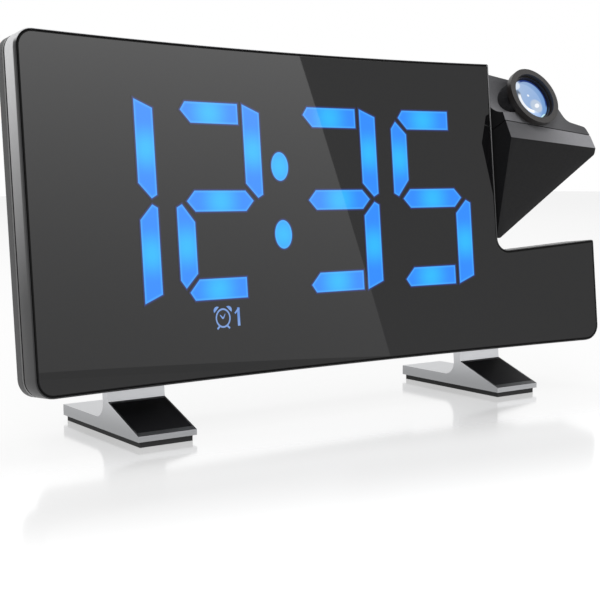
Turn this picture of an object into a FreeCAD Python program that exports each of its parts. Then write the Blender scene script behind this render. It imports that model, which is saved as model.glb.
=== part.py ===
# Projection alarm clock with a curved glossy face, a lens head that turns in a notch at the
# right of the face, and two angled metal feet. All sizes are in millimetres and degrees.
# X runs to the right, Y to the back, Z up; the origin is the middle of the footprint.
import FreeCAD, Part
import math
import os
import Sketcher

# Each driving size has a name, a value and a meaning.
SIZES = [
    ("face_width", 186.9, "width of the curved face, measured straight across"),
    ("face_height", 85.3, "height of the frame around the face"),
    ("face_radius", 536.5, "radius of the hollow front surface of the face"),
    ("lean", 5.33, "angle that the face leans back"),
    ("face_lift", 14.51, "height of the frame's front bottom line above the table"),
    ("face_forward", 22.78, "distance of that line in front of the middle of the clock"),
    ("corner_radius", 4.65, "outer corners of the face"),
    ("tip_radius", 0.6, "the two nearly sharp corners beside the notch"),
    ("notch_width", 36.1, "width of the notch for the lens head"),
    ("arm_inner", 29.1, "height of the arm under the notch, at its inner end"),
    ("arm_outer", 31.3, "height of the arm at its outer end"),
    ("notch_fillet", 3.75, "rounding in the notch's inner corner"),
    ("panel_thick", 2.0, "thickness of the front panel"),
    ("panel_reveal", 0.45, "edge of the frame that shows around the panel"),
    ("frame_depth", 6.1, "depth of the frame behind the panel"),
    ("frame_wall", 2.0, "side wall of the frame"),
    ("frame_plate", 1.0, "plate of the frame that the panel is bonded to"),
    ("frame_chamfer", 0.5, "chamfer around the frame's front edge"),
    ("cover_edge", 2.8, "depth of the rear cover's side strip"),
    ("cover_wall", 1.8, "wall of the rear cover"),
    ("fit_gap", 0.15, "clearance between pieces that are put together"),
    ("back_depth", 34.0, "back face of the cover behind the ends of the face"),
    ("back_taper", 13.0, "left end of the cover's back face inside the end of the face"),
    ("back_notch", 10.35, "right end of the cover's back face left of the notch"),
    ("back_low", 3.4, "lower edge of the back face above the frame's bottom"),
    ("back_drop", 4.4, "flat top of the cover under the top of the frame"),
    ("bulge_start", 9.0, "depth where the cover's bulge begins"),
    ("bulge_taper", 1.0, "left end of the bulge, where it begins, inside the end of the face"),
    ("bulge_notch", 2.85, "right end of the bulge, where it begins, left of the notch"),
    ("bulge_low", 2.6, "underside of the bulge where it begins"),
    ("arm_overlap", 19.35, "left end of the arm's bulge, left of the notch"),
    ("arm_taper", 3.0, "right end of the arm's bulge, where it begins, inside the face's end"),
    ("arm_drop", 2.7, "top of the arm's bulge, where it begins, under the arm's top"),
    ("arm_back_taper", 11.0, "right end of the arm's back face inside the end of the face"),
    ("arm_back_drop", 6.2, "top of the arm's back face under the arm's top"),
    ("arm_depth", 32.0, "back face of the arm's bulge behind the ends of the face"),
    ("bulge_corner", 4.0, "rounded corners of the bulge"),
    ("bulge_bevel", 1.2, "bevel around the back face"),
    ("digit_top", 14.65, "edge of the face above the digits"),
    ("digit_base", 20.35, "foot of the digits above the frame's bottom"),
    ("stroke", 5.3, "width of a digit's bar"),
    ("bar_gap", 1.5, "gap between two bars"),
    ("bar_tip", 1.6, "bevel at the tip of a bar"),
    ("bar_corner", 2.1, "bevel at a digit's outer corner"),
    ("digit_left_edge", 9.35, "edge of the face left of the first digit"),
    ("digit_right_edge", 9.65, "edge of the face between the last digit and the notch"),
    ("digit_space", 5.6, "space between two neighbouring digits"),
    ("colon_space", 11.8, "space between the two digits beside the colon"),
    ("dot_wide", 2.75, "half width of a colon dot"),
    ("dot_tall", 3.8, "half height of a colon dot"),
    ("dot_spread", 9.05, "height of the colon dots above and below the digits' middle"),
    ("bell_x", 39.1, "alarm sign's middle, left of the middle"),
    ("bell_z", 15.45, "alarm sign's middle above the frame's bottom"),
    ("bell_radius", 2.0, "outer radius of the alarm sign's ring"),
    ("bell_line", 0.45, "line width of the alarm sign"),
    ("box_left_edge", 1.2, "light box left of the first digit"),
    ("box_right_edge", 1.6, "light box right of the last digit"),
    ("box_low", 12.75, "bottom of the light box above the frame's bottom"),
    ("box_top_edge", 0.8, "light box above the digits"),
    ("board_front", 17.0, "front of the display board behind the face's ends"),
    ("board_thick", 1.2, "thickness of the display board"),
    ("led_high", 1.2, "height of a display lamp on its board"),
    ("led_long", 3.0, "length of a display lamp"),
    ("led_wide", 1.6, "width of a display lamp"),
    ("main_front", 21.5, "front of the main board"),
    ("main_thick", 1.6, "thickness of the main board"),
    ("main_left", 30.0, "left side of the main board from the middle"),
    ("main_right_edge", 4.0, "right side of the main board inside the back face's end"),
    ("main_low", 13.0, "bottom of the main board"),
    ("main_drop", 13.9, "top of the main board under the top of the frame"),
    ("screw_left_edge", 18.0, "left housing screws inside the end of the face"),
    ("screw_right_edge", 15.35, "right housing screws left of the notch"),
    ("screw_low", 8.4, "lower housing screws above the frame's bottom"),
    ("screw_drop", 9.5, "upper housing screws under the top of the frame"),
    ("screw_radius", 1.25, "housing screw"),
    ("screw_head", 2.3, "head radius of a housing screw"),
    ("screw_head_high", 1.6, "head height of a housing screw"),
    ("screw_long", 9.0, "length of a housing screw under its head"),
    ("screw_floor", 24.0, "depth at which the housing screws' heads sit"),
    ("post_radius", 2.4, "screw posts of the frame"),
    ("post_end", 16.6, "rear end of the frame's screw posts"),
    ("tube_wall", 1.2, "wall of the cover's screw tubes"),
    ("snooze_x", 16.0, "middle of the snooze bar, left of the middle"),
    ("snooze_long", 58.0, "length of the snooze bar"),
    ("snooze_deep", 9.0, "depth of the snooze bar"),
    ("snooze_front", 21.4, "front of the snooze bar behind the face's ends"),
    ("snooze_proud", 2.4, "height of the snooze bar above the cover"),
    ("snooze_travel", 0.8, "travel of the snooze bar"),
    ("button_gap", 0.3, "gap around a button"),
    ("flange_out", 1.0, "edge of a button's flange beyond its cap"),
    ("flange_thick", 1.1, "thickness of a button's flange"),
    ("key_pitch", 12.0, "step between two rear buttons"),
    ("key_edge", 9.0, "last rear button inside the back face's right end"),
    ("key_drop", 18.0, "rear buttons under the flat top of the cover"),
    ("key_wide", 8.4, "width of a rear button"),
    ("key_tall", 5.2, "height of a rear button"),
    ("key_proud", 1.0, "height of a rear button above the back"),
    ("key_travel", 0.6, "travel of a rear button"),
    ("switch_size", 6.0, "side of a tact switch"),
    ("switch_high", 3.5, "body height of a tact switch"),
    ("stem_radius", 1.6, "stem of a tact switch"),
    ("speaker_edge", 26.0, "speaker's middle inside the back face's left end"),
    ("speaker_drop", 22.0, "speaker's middle under the rear buttons"),
    ("speaker_radius", 18.0, "outer radius of the speaker"),
    ("speaker_rim", 1.5, "thickness of the speaker's rim"),
    ("speaker_deep", 5.0, "depth of the speaker's basket"),
    ("magnet_radius", 9.0, "radius of the speaker's magnet"),
    ("magnet_deep", 3.6, "depth of the speaker's magnet"),
    ("grille_pitch", 3.6, "step between the holes of the speaker grille"),
    ("grille_hole", 0.9, "radius of a hole of the speaker grille"),
    ("cell_edge", 25.0, "coin cell's middle inside the back face's right end"),
    ("cell_radius", 10.0, "radius of the coin cell"),
    ("cell_thick", 3.2, "thickness of the coin cell"),
    ("holder_deep", 5.6, "depth of the battery holder"),
    ("lid_radius", 12.5, "radius of the battery lid"),
    ("lid_thick", 1.4, "thickness of the battery lid's rim"),
    ("lid_ring", 1.6, "thickness of the ring behind the battery lid"),
    ("lid_plug", 1.2, "depth of the battery lid's plug"),
    ("coin_slot", 1.6, "width of the coin slot in the battery lid"),
    ("jack_x", 18.0, "power inlet, left of the middle"),
    ("jack_z", 17.5, "power inlet above the frame's bottom"),
    ("jack_side", 9.0, "side of the power inlet's housing"),
    ("jack_hole", 3.1, "radius of the power inlet's hole"),
    ("jack_pin", 0.9, "radius of the power inlet's centre pin"),
    ("port_step", 18.0, "charging port left of the coin cell's middle"),
    ("port_wide", 14.5, "width of the charging port's shell"),
    ("port_tall", 7.0, "height of the charging port's shell"),
    ("port_shell", 0.6, "sheet of the charging port's shell"),
    ("foot_edge", 34.15, "middle of each foot inside the end of the face"),
    ("foot_width", 16.2, "width of a foot"),
    ("foot_front", 21.56, "front of a foot before the middle of the clock"),
    ("foot_back", 22.54, "back of a foot behind the middle of the clock"),
    ("pad_high", 1.5, "height of the rubber pad"),
    ("pad_inset", 0.8, "edge of a foot beyond its pad"),
    ("base_thick", 2.9, "thickness of a foot's base plate"),
    ("lip_high", 1.45, "height of a foot's front lip"),
    ("post_front", 5.06, "bend of a foot before the middle of the clock"),
    ("bend_high", 9.0, "height of a foot's bend above the table"),
    ("post_thick", 2.9, "thickness of a foot's post"),
    ("tang_long", 15.2, "length of a foot's post above the bend"),
    ("foot_fillet", 4.0, "rounding between a foot's post and base plate"),
    ("insert_thick", 0.4, "thickness of a foot's black insert"),
    ("insert_top", 0.9, "insert's upper end below the bend"),
    ("insert_foot", 1.7, "insert's lower end behind the front lip"),
    ("insert_side", 0.45, "edge of the foot beside the insert"),
    ("foot_screw", 1.2, "radius of a foot's screw"),
    ("foot_screw_head", 2.1, "head radius of a foot's screw"),
    ("foot_screw_high", 1.4, "head height of a foot's screw"),
    ("foot_screw_long", 9.0, "length of a foot's screw under its head"),
    ("foot_screw_z", 7.9, "height of a foot's screw above the frame's bottom"),
    ("pivot_room", 0.44, "clearance between the pivot's clip and the panel"),
    ("pivot_drop", 21.55, "pivot of the head under the top of the frame"),
    ("shaft_radius", 2.3, "hollow shaft of the head"),
    ("shaft_hole", 1.4, "wire hole in that shaft"),
    ("shaft_inside", 6.9, "length of the shaft in the housing, from the notch wall"),
    ("shaft_head", 4.6, "length of the shaft in the head"),
    ("turn_gap", 0.05, "running clearance of turning pieces"),
    ("bush_radius", 3.2, "outer radius of the pivot bush"),
    ("bush_long", 5.3, "length of the pivot bush"),
    ("clip_thick", 0.6, "thickness of the retaining clip"),
    ("clip_radius", 3.6, "outer radius of the retaining clip"),
    ("groove_deep", 0.5, "depth of the clip's groove"),
    ("head_gap", 0.65, "gap between the notch wall and the head"),
    ("washer_thick", 0.5, "thickness of the friction washer"),
    ("washer_radius", 4.4, "outer radius of the friction washer"),
    ("lens_rise", 26.0, "angle of the lens axis above the horizontal"),
    ("head_long", 35.0, "length of the head along its pivot"),
    ("cap_level", 12.6, "top face of the head above its pivot"),
    ("ridge_left", 6.1, "front ridge of the head before the pivot, left end"),
    ("ridge_right", 9.3, "front ridge of the head before the pivot, right end"),
    ("far_left", 16.3, "far edge of the head behind the pivot, left end"),
    ("far_slope", 0.1, "drift of the far edge towards the front, for each millimetre to the right"),
    ("lobe_right", 20.0, "right end of the round part behind the lens"),
    ("lobe_radius", 6.5, "rounding of that part"),
    ("neck_right", 26.0, "place where the head becomes a narrow beak"),
    ("neck_radius", 4.0, "rounding of the head's neck"),
    ("beak_far", 0.1, "far edge of the beak before the pivot"),
    ("beak_side", 5.0, "middle of the beak's end before the pivot"),
    ("beak_corner", 2.0, "far corner of the beak before the pivot"),
    ("beak_radius", 1.6, "rounding of that corner"),
    ("beak_front", 10.8, "near corner of the beak before the pivot"),
    ("beak_round", 1.0, "rounding of the near corner"),
    ("beak_slant", 0.6, "beak's end inside the head's full length"),
    ("apex_drop", 30.6, "lowest point of the head before the pivot"),
    ("apex_wide", 1.5, "width of the head at its lowest point"),
    ("apex_back", 5.7, "lowest point of the head under the pivot"),
    ("head_back", 11.5, "back of the head under the pivot"),
    ("keel_far", 2.0, "far end of the head's back behind the pivot"),
    ("heel_out", 1.6, "bulge of the head's far side"),
    ("heel_level", 4.0, "level of that bulge above the pivot"),
    ("head_wall", 1.6, "wall of the head"),
    ("seam_left", 0.45, "seam of the head before the pivot, left end"),
    ("seam_right", 4.9, "seam of the head before the pivot, right end"),
    ("seam_gap", 0.25, "shadow gap at the head's seam"),
    ("scoop_radius", 8.3, "radius of the scoop beside the lens"),
    ("scoop_far", 9.9, "middle of the scoop behind the pivot"),
    ("scoop_level", 16.0, "middle of the scoop above the pivot"),
    ("lens_x", 12.32, "lens axis from the head's left side"),
    ("lens_far", 6.51, "lens axis behind the pivot"),
    ("ring_radius", 9.2, "outer radius of the focus ring"),
    ("ring_high", 1.8, "height of the focus ring"),
    ("ring_top", 15.7, "front of the focus ring above the pivot"),
    ("barrel_radius", 7.9, "outer radius of the lens barrel"),
    ("barrel_bore", 7.4, "bore of the lens barrel and of the focus ring"),
    ("barrel_foot", 3.0, "inner end of the lens barrel above the pivot"),
    ("skirt_wall", 0.45, "wall of the focus ring's skirt"),
    ("skirt_long", 1.0, "length of the focus ring's skirt"),
    ("cell_wall", 0.5, "wall of the lens cell"),
    ("cell_long", 5.0, "length of the lens cell"),
    ("cell_drop", 1.2, "front of the lens cell behind the front of the ring"),
    ("focus_travel", 0.6, "travel of the lens cell each way"),
    ("lens_thick", 1.6, "edge thickness of the objective lens"),
    ("lens_crown", 14.0, "radius of the objective lens's curved face"),
    ("slide_side", 6.6, "side of the image slide behind the lens"),
    ("slide_thick", 1.0, "thickness of the image slide"),
    ("condenser_radius", 4.2, "radius of the condenser lens"),
    ("condenser_thick", 1.6, "thickness of the condenser lens"),
    ("condenser_level", 1.2, "front of the condenser lens under the pivot"),
    ("lamp_side", 7.6, "side of the lamp board"),
    ("lamp_level", 5.0, "front of the lamp board under the pivot"),
    ("lamp_thick", 1.0, "thickness of the lamp board"),
    ("lamp_radius", 1.3, "radius of the projection lamp"),
    ("duct_wall", 0.55, "wall of the light duct around the condenser lens"),
    ("light_hole", 3.1, "radius of the light's way through the barrel's floor"),
    ("barrel_floor", 0.9, "thickness of the barrel's floor"),
    ("chip_side", 10.0, "side of the clock's main chip"),
    ("chip_long", 9.0, "length of a small chip"),
    ("chip_short", 6.0, "width of a small chip"),
    ("chip_high", 1.6, "height of a chip on the main board"),
]

doc = FreeCAD.newDocument("ProjectionAlarmClock")
sheet = doc.addObject("Spreadsheet::Sheet", "Sizes")


class Size:
    """A number together with the expression that gives it from the sheet."""

    def __init__(self, number, words):
        self.number = number
        self.words = words

    def _join(self, other, sign, number):
        return Size(number, f"({self.words} {sign} {size(other).words})")

    def __add__(self, other):
        return self._join(other, "+", self.number + size(other).number)

    def __sub__(self, other):
        return self._join(other, "-", self.number - size(other).number)

    def __mul__(self, other):
        return self._join(other, "*", self.number * size(other).number)

    def __truediv__(self, other):
        return self._join(other, "/", self.number / size(other).number)

    def __radd__(self, other):
        return size(other) + self

    def __rsub__(self, other):
        return size(other) - self

    def __rmul__(self, other):
        return size(other) * self

    def __neg__(self):
        return Size(-self.number, f"(-1 * {self.words})")


def size(value):
    return value if isinstance(value, Size) else Size(float(value), f"({value})")


def root(value):
    return Size(math.sqrt(value.number), f"sqrt({value.words})")


def sine(angle):
    return Size(math.sin(math.radians(angle.number)), f"sin({angle.words} * 1 deg)")


def cosine(angle):
    return Size(math.cos(math.radians(angle.number)), f"cos({angle.words} * 1 deg)")


class Named:
    """The sheet's sizes, each by its name."""


s = Named()
for row, (alias, value, meaning) in enumerate(SIZES, start=1):
    sheet.set(f"A{row}", alias)
    sheet.set(f"B{row}", str(value))
    sheet.set(f"C{row}", meaning)
    sheet.setAlias(f"B{row}", alias)
    setattr(s, alias, Size(value, f"Sizes.{alias}"))
doc.recompute()

# Sizes that follow from the driving ones.
half_width = s.face_width / 2
axis_depth = -root(s.face_radius * s.face_radius - half_width * half_width)
notch_wall = half_width - s.notch_width
arm_slope = (s.arm_outer - s.arm_inner) / s.notch_width
panel_back = s.face_radius + s.panel_thick
seam = panel_back + s.frame_depth
cover_back = seam + s.cover_edge
plate_back = panel_back + s.frame_plate
cover_inner = s.back_depth - s.cover_wall
past = s.back_depth * 2
board_back = s.board_front + s.board_thick
main_back = s.main_front + s.main_thick
lens_tilt = 90 - s.lens_rise
digit_height = s.face_height - s.digit_base - s.digit_top
digits_long = s.face_width - s.notch_width - s.digit_left_edge - s.digit_right_edge
digit_width = (digits_long - s.digit_space * 2 - s.colon_space) / 4
first_digit = half_width - s.digit_left_edge
box_left = first_digit + s.box_left_edge
box_right = notch_wall - s.digit_right_edge + s.box_right_edge
box_high = s.digit_base + digit_height + s.box_top_edge
bulge_left = half_width - s.bulge_taper
bulge_right = notch_wall - s.bulge_notch
back_left = half_width - s.back_taper
back_right = notch_wall - s.back_notch
back_high = s.face_height - s.back_drop
arm_bulge_left = notch_wall - s.arm_overlap
arm_bulge_right = half_width - s.arm_taper
arm_bulge_high = s.arm_inner - s.arm_drop
arm_back_right = half_width - s.arm_back_taper
arm_back_high = s.arm_inner - s.arm_back_drop
main_right = back_right - s.main_right_edge
main_high = s.face_height - s.main_drop
screw_left = half_width - s.screw_left_edge
screw_right = notch_wall - s.screw_right_edge
screw_high = s.face_height - s.screw_drop
last_key = back_right - s.key_edge
key_z = back_high - s.key_drop
speaker_x = back_left - s.speaker_edge
speaker_z = key_z - s.speaker_drop
cell_x = back_right - s.cell_edge
cell_z = speaker_z
port_x = cell_x - s.port_step
foot_spread = half_width - s.foot_edge
pivot_z = s.face_height - s.pivot_drop

X_AXIS = FreeCAD.Vector(1, 0, 0)
Y_AXIS = FreeCAD.Vector(0, 1, 0)
TO_BACK = FreeCAD.Rotation(X_AXIS, -90)
TO_RIGHT = FreeCAD.Rotation(Y_AXIS, 90)
UPRIGHT = FreeCAD.Rotation()


def depth_at(x):
    """Depth of the face's front surface at x, behind its two ends."""
    return root(s.face_radius * s.face_radius - x * x) + axis_depth


pivot_depth = depth_at(notch_wall - s.shaft_inside) + s.panel_thick + s.clip_radius + s.pivot_room

# Helpers for sketches, solids and booleans.
def new_body(name):
    body = doc.addObject("PartDesign::Body", name)
    body.Label = name
    return body


def new_sketch(body, name, plane, level):
    """Sketch on one of the body's own planes, moved to a level along that plane's normal."""
    sketch = body.newObject("Sketcher::SketchObject", name)
    support = next(item for item in body.Origin.OriginFeatures if item.Role == f"{plane}_Plane")
    sketch.AttachmentSupport = [(support, "")]
    sketch.MapMode = "FlatFace"
    sketch.setExpression("AttachmentOffset.Base.z", size(level).words)
    return sketch


def bind(sketch, constraint, value):
    number = sketch.addConstraint(constraint)
    sketch.setExpression(f"Constraints[{number}]", value.words)


def hold(sketch, geometry, point, x, y):
    """Hold one point of a sketch at x, y."""
    x, y = size(x), size(y)
    bind(sketch, Sketcher.Constraint("DistanceX", -1, 1, geometry, point, x.number), x)
    bind(sketch, Sketcher.Constraint("DistanceY", -1, 1, geometry, point, y.number), y)


def polygon(sketch, points):
    first = sketch.GeometryCount
    corners = [(size(x), size(y)) for x, y in points]
    places = [FreeCAD.Vector(x.number, y.number, 0) for x, y in corners]
    for start, end in zip(places, places[1:] + places[:1]):
        sketch.addGeometry(Part.LineSegment(start, end))
    count = len(corners)
    for index, (x, y) in enumerate(corners):
        follower = first + (index + 1) % count
        sketch.addConstraint(Sketcher.Constraint("Coincident", first + index, 2, follower, 1))
        hold(sketch, first + index, 1, x, y)


def rounded_polygon(sketch, points):
    """Closed outline through corners (x, y, radius), taken anticlockwise."""
    first = sketch.GeometryCount
    count = len(points)
    radii = [size(point[2]) for point in points]
    places = [FreeCAD.Vector(size(x).number, size(y).number, 0) for x, y, _ in points]
    starts, ends, arcs = [], [], []
    for index, place in enumerate(places):
        before = (places[index - 1] - place).normalize()
        after = (places[(index + 1) % count] - place).normalize()
        half = before.getAngle(after) / 2
        radius = radii[index].number
        reach = radius / math.tan(half)
        centre = place + (before + after).normalize() * (radius / math.sin(half))
        turn = (after.cross(before)).z
        starts.append(place + before * reach)
        ends.append(place + after * reach)
        arcs.append((centre, radius, turn > 0))
    for index in range(count):
        sketch.addGeometry(Part.LineSegment(ends[index], starts[(index + 1) % count]))
    for index, (centre, radius, convex) in enumerate(arcs):
        circle = Part.Circle(centre, FreeCAD.Vector(0, 0, 1), radius)
        towards_start = starts[index] - centre
        towards_end = ends[index] - centre
        angles = [math.atan2(v.y, v.x) for v in (towards_start, towards_end)]
        if not convex:
            angles.reverse()
        if angles[1] < angles[0]:
            angles[1] += 2 * math.pi
        sketch.addGeometry(Part.ArcOfCircle(circle, *angles))
    for index, (centre, radius, convex) in enumerate(arcs):
        arc = first + count + index
        line_in = first + (index - 1) % count
        line_out = first + index
        into, out = (1, 2) if convex else (2, 1)
        sketch.addConstraint(Sketcher.Constraint("Tangent", line_in, 2, arc, into))
        sketch.addConstraint(Sketcher.Constraint("Tangent", arc, out, line_out, 1))
        bind(sketch, Sketcher.Constraint("Radius", arc, radius), radii[index])
        mark = sketch.addGeometry(Part.Point(places[index]), True)
        sketch.addConstraint(Sketcher.Constraint("PointOnObject", mark, 1, line_in))
        sketch.addConstraint(Sketcher.Constraint("PointOnObject", mark, 1, line_out))
        hold(sketch, mark, 1, points[index][0], points[index][1])


def ring_outline(sketch, x, y, radius):
    radius = size(radius)
    centre = FreeCAD.Vector(size(x).number, size(y).number, 0)
    circle = sketch.addGeometry(Part.Circle(centre, FreeCAD.Vector(0, 0, 1), radius.number))
    hold(sketch, circle, 3, x, y)
    bind(sketch, Sketcher.Constraint("Radius", circle, radius.number), radius)


def oval_outline(sketch, x, y, wide, tall):
    """Upright oval made of two arcs joined by two short sides."""
    x, y = size(x), size(y)
    side = tall - wide
    centres = [FreeCAD.Vector(x.number, (y + step).number, 0) for step in (side, -side)]
    normal = FreeCAD.Vector(0, 0, 1)
    upper = Part.ArcOfCircle(Part.Circle(centres[0], normal, wide.number), 0, math.pi)
    lower = Part.ArcOfCircle(Part.Circle(centres[1], normal, wide.number), math.pi, 2 * math.pi)
    top, bottom = sketch.addGeometry(upper), sketch.addGeometry(lower)
    left = sketch.addGeometry(Part.LineSegment(upper.EndPoint, lower.StartPoint))
    right = sketch.addGeometry(Part.LineSegment(lower.EndPoint, upper.StartPoint))
    for one, point, other, end in ((top, 2, left, 1), (left, 2, bottom, 1),
                                   (bottom, 2, right, 1), (right, 2, top, 1)):
        sketch.addConstraint(Sketcher.Constraint("Tangent", one, point, other, end))
    hold(sketch, top, 3, x, y + side)
    bind(sketch, Sketcher.Constraint("DistanceY", -1, 1, bottom, 3, (y - side).number), y - side)
    bind(sketch, Sketcher.Constraint("Radius", top, wide.number), wide)


def pad(body, sketch, length, backwards=False):
    feature = body.newObject("PartDesign::Pad", "Pad")
    feature.Profile = sketch
    feature.Reversed = backwards
    feature.setExpression("Length", size(length).words)
    return feature


def prism(name, plane, draw, start, length):
    """Solid of one sketch: along +Y for the XZ plane, +X for YZ and +Z for XY."""
    body = new_body(name)
    along_y = plane == "XZ"
    sketch = new_sketch(body, f"{name}_sketch", plane, -size(start) if along_y else start)
    draw(sketch)
    pad(body, sketch, length, backwards=along_y)
    return body


def loft(body, sketches):
    """Solid between sketches, with straight lines from one to the next."""
    feature = body.newObject("PartDesign::AdditiveLoft", "Loft")
    feature.Profile = sketches[0]
    feature.Sections = sketches[1:]
    feature.Ruled = True
    return feature


def bow(name, near, far, low, high):
    """Upright block whose front and back both follow the curve of the face."""
    near, far = size(near), size(far)
    reach = half_width + 5

    def draw(sketch):
        middle = FreeCAD.Vector(0, axis_depth.number, 0)
        for radius in (near, far):
            lean_in = math.acos(reach.number / radius.number)
            circle = Part.Circle(middle, FreeCAD.Vector(0, 0, 1), radius.number)
            sketch.addGeometry(Part.ArcOfCircle(circle, lean_in, math.pi - lean_in))
        front, back = (sketch.Geometry[index] for index in (0, 1))
        sketch.addGeometry(Part.LineSegment(front.StartPoint, back.StartPoint))
        sketch.addGeometry(Part.LineSegment(back.EndPoint, front.EndPoint))
        for one, point, other, end in ((0, 1, 2, 1), (2, 2, 1, 1), (1, 2, 3, 1), (3, 2, 0, 2),
                                       (0, 3, 1, 3)):
            sketch.addConstraint(Sketcher.Constraint("Coincident", one, point, other, end))
        hold(sketch, 0, 3, 0, axis_depth)
        for arc, radius in enumerate((near, far)):
            bind(sketch, Sketcher.Constraint("Radius", arc, radius.number), radius)
            for point, x in ((1, reach), (2, -reach)):
                bind(sketch, Sketcher.Constraint("DistanceX", -1, 1, arc, point, x.number), x)

    return prism(name, "XY", draw, low, size(high) - low)


def face_prism(name, inset, start, length):
    """Block with the outline of the face, its walls moved inwards by inset."""
    inset = size(inset)
    right = half_width - inset
    wall_x = notch_wall - inset
    top = s.face_height - inset
    outer = s.corner_radius - inset
    drop = inset * arm_slope + inset
    corners = [
        (-right, inset, outer),
        (right, inset, outer),
        (right, s.arm_outer - drop, s.tip_radius),
        (wall_x, s.arm_inner - drop, s.notch_fillet + inset),
        (wall_x, top, s.tip_radius),
        (-right, top, outer),
    ]
    return prism(name, "XZ", lambda sketch: rounded_polygon(sketch, corners), start, length)


def block(name, low, high):
    """Box between two corners."""
    box = doc.addObject("Part::Box", name)
    box.Label = name
    for axis, side, start, end in zip("xyz", ("Length", "Width", "Height"), low, high):
        box.setExpression(side, (size(end) - start).words)
        box.setExpression(f"Placement.Base.{axis}", size(start).words)
    return box


def rod(name, at, radius, length, turn):
    """Cylinder that starts at a point and runs along the turned Z axis."""
    cylinder = doc.addObject("Part::Cylinder", name)
    cylinder.Label = name
    cylinder.Placement = FreeCAD.Placement(FreeCAD.Vector(), turn)
    cylinder.setExpression("Radius", size(radius).words)
    cylinder.setExpression("Height", size(length).words)
    for axis, start in zip("xyz", at):
        cylinder.setExpression(f"Placement.Base.{axis}", size(start).words)
    return cylinder


def cut(name, base, *tools):
    tool = tools[0] if len(tools) == 1 else fuse(f"{name}_cuts", *tools)
    result = doc.addObject("Part::Cut", name)
    result.Label = name
    result.Base = base
    result.Tool = tool
    return result


def fuse(name, *parts):
    result = doc.addObject("Part::MultiFuse", name)
    result.Label = name
    result.Shapes = list(parts)
    return result


def common(name, *parts):
    result = doc.addObject("Part::MultiCommon", name)
    result.Label = name
    result.Shapes = list(parts)
    return result


def group(name, parts):
    """Several separate solids of the same kind in one node."""
    result = doc.addObject("Part::Compound", name)
    result.Label = name
    result.Links = parts
    return result


def tube(name, at, outer, inner, length, turn):
    outside = rod(f"{name}_outside", at, outer, length, turn)
    inside = rod(f"{name}_inside", at, inner, length, turn)
    return cut(name, outside, inside)


def screws(name, places, radius, head, head_high, long):
    """Screws along Y; each place is the point under the head, and the shank runs forwards."""
    made = []
    for number, (x, y, z) in enumerate(places, start=1):
        shank = rod(f"{name}_shank_{number}", (x, y - long, z), radius, long, TO_BACK)
        top = rod(f"{name}_top_{number}", (x, y, z), head, head_high, TO_BACK)
        socket = rod(f"{name}_socket_{number}", (x, y + head_high / 2, z), radius * 0.8,
                     head_high, TO_BACK)
        made.append(cut(f"{name}_{number}", fuse(f"{name}_solid_{number}", shank, top), socket))
    return group(name, made)


# The housing stands in its own upright frame and is then leaned back and lifted as one.
HOUSING = FreeCAD.Placement(FreeCAD.Vector(0, -s.face_forward.number, s.face_lift.number),
                            FreeCAD.Rotation(X_AXIS, -s.lean.number))
# The head's own frame: X along the pivot from the head's left side, Z along the lens.
PIVOT = HOUSING.multVec(FreeCAD.Vector((notch_wall + s.head_gap).number, pivot_depth.number,
                                       pivot_z.number))
HEAD = FreeCAD.Placement(PIVOT, FreeCAD.Rotation(X_AXIS, lens_tilt.number))
nodes = {}


def keep(node, placement=None):
    """Finished sub-part, put in its place."""
    if placement is not None:
        node.Placement = placement
    nodes[node.Label] = node


# Display: bars of a seven-bar digit, from its left foot.
def digit_bars():
    wide, tall, middle = digit_width, digit_height, digit_height / 2
    inner = wide - s.stroke - s.bar_gap
    knee = s.stroke + s.bar_gap / 4
    upper = {
        "top": [(s.stroke / 2, tall - s.bar_corner), (knee, tall - s.stroke),
                (inner, tall - s.stroke), (inner, tall), (s.stroke / 2 + s.bar_gap, tall)],
        "upper_right": [(wide - s.stroke, middle + s.stroke - s.bar_gap / 2),
                        (wide - s.bar_tip, middle + s.bar_gap / 2), (wide, middle + s.bar_tip),
                        (wide, tall - s.bar_corner), (wide - s.stroke, tall)],
        "upper_left": [(0, middle + s.bar_tip), (s.bar_tip, middle + s.bar_gap / 2),
                       (s.stroke, middle + s.stroke), (s.stroke, tall - s.stroke - s.bar_gap),
                       (s.bar_tip, tall - s.bar_tip * 2), (0, tall - s.stroke)],
    }
    bars = {"middle": [(s.bar_tip * 2, middle), (knee, middle - s.stroke / 2),
                       (wide - knee, middle - s.stroke / 2), (wide - s.bar_tip * 2, middle),
                       (wide - knee, middle + s.stroke / 2), (knee, middle + s.stroke / 2)]}
    for name, points in upper.items():
        bars[name] = points
        mirrored = [(x, tall - y) for x, y in reversed(points)]
        bars[name.replace("upper", "lower").replace("top", "bottom")] = mirrored
    return bars


SHOWN = [
    {"upper_right", "lower_right"},
    {"top", "upper_right", "middle", "lower_left", "bottom"},
    {"top", "upper_right", "middle", "lower_right", "bottom"},
    {"top", "upper_left", "middle", "lower_right", "bottom"},
]


def digit_left(number):
    left = -first_digit + (digit_width + s.digit_space) * number
    return left if number < 2 else left + s.colon_space - s.digit_space


def bars_prism(name, number, wanted):
    def draw(sketch):
        for bar, points in digit_bars().items():
            if bar in wanted:
                polygon(sketch, [(digit_left(number) + x, s.digit_base + y) for x, y in points])

    return prism(name, "XZ", draw, -2, s.board_front + 3)


def colon_prism():
    x = (digit_left(1) + digit_width + digit_left(2)) / 2
    middle = s.digit_base + digit_height / 2

    def draw(sketch):
        for y in (middle + s.dot_spread, middle - s.dot_spread):
            oval_outline(sketch, x, y, s.dot_wide, s.dot_tall)

    return prism("colon_window", "XZ", draw, -2, s.board_front + 3)


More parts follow.
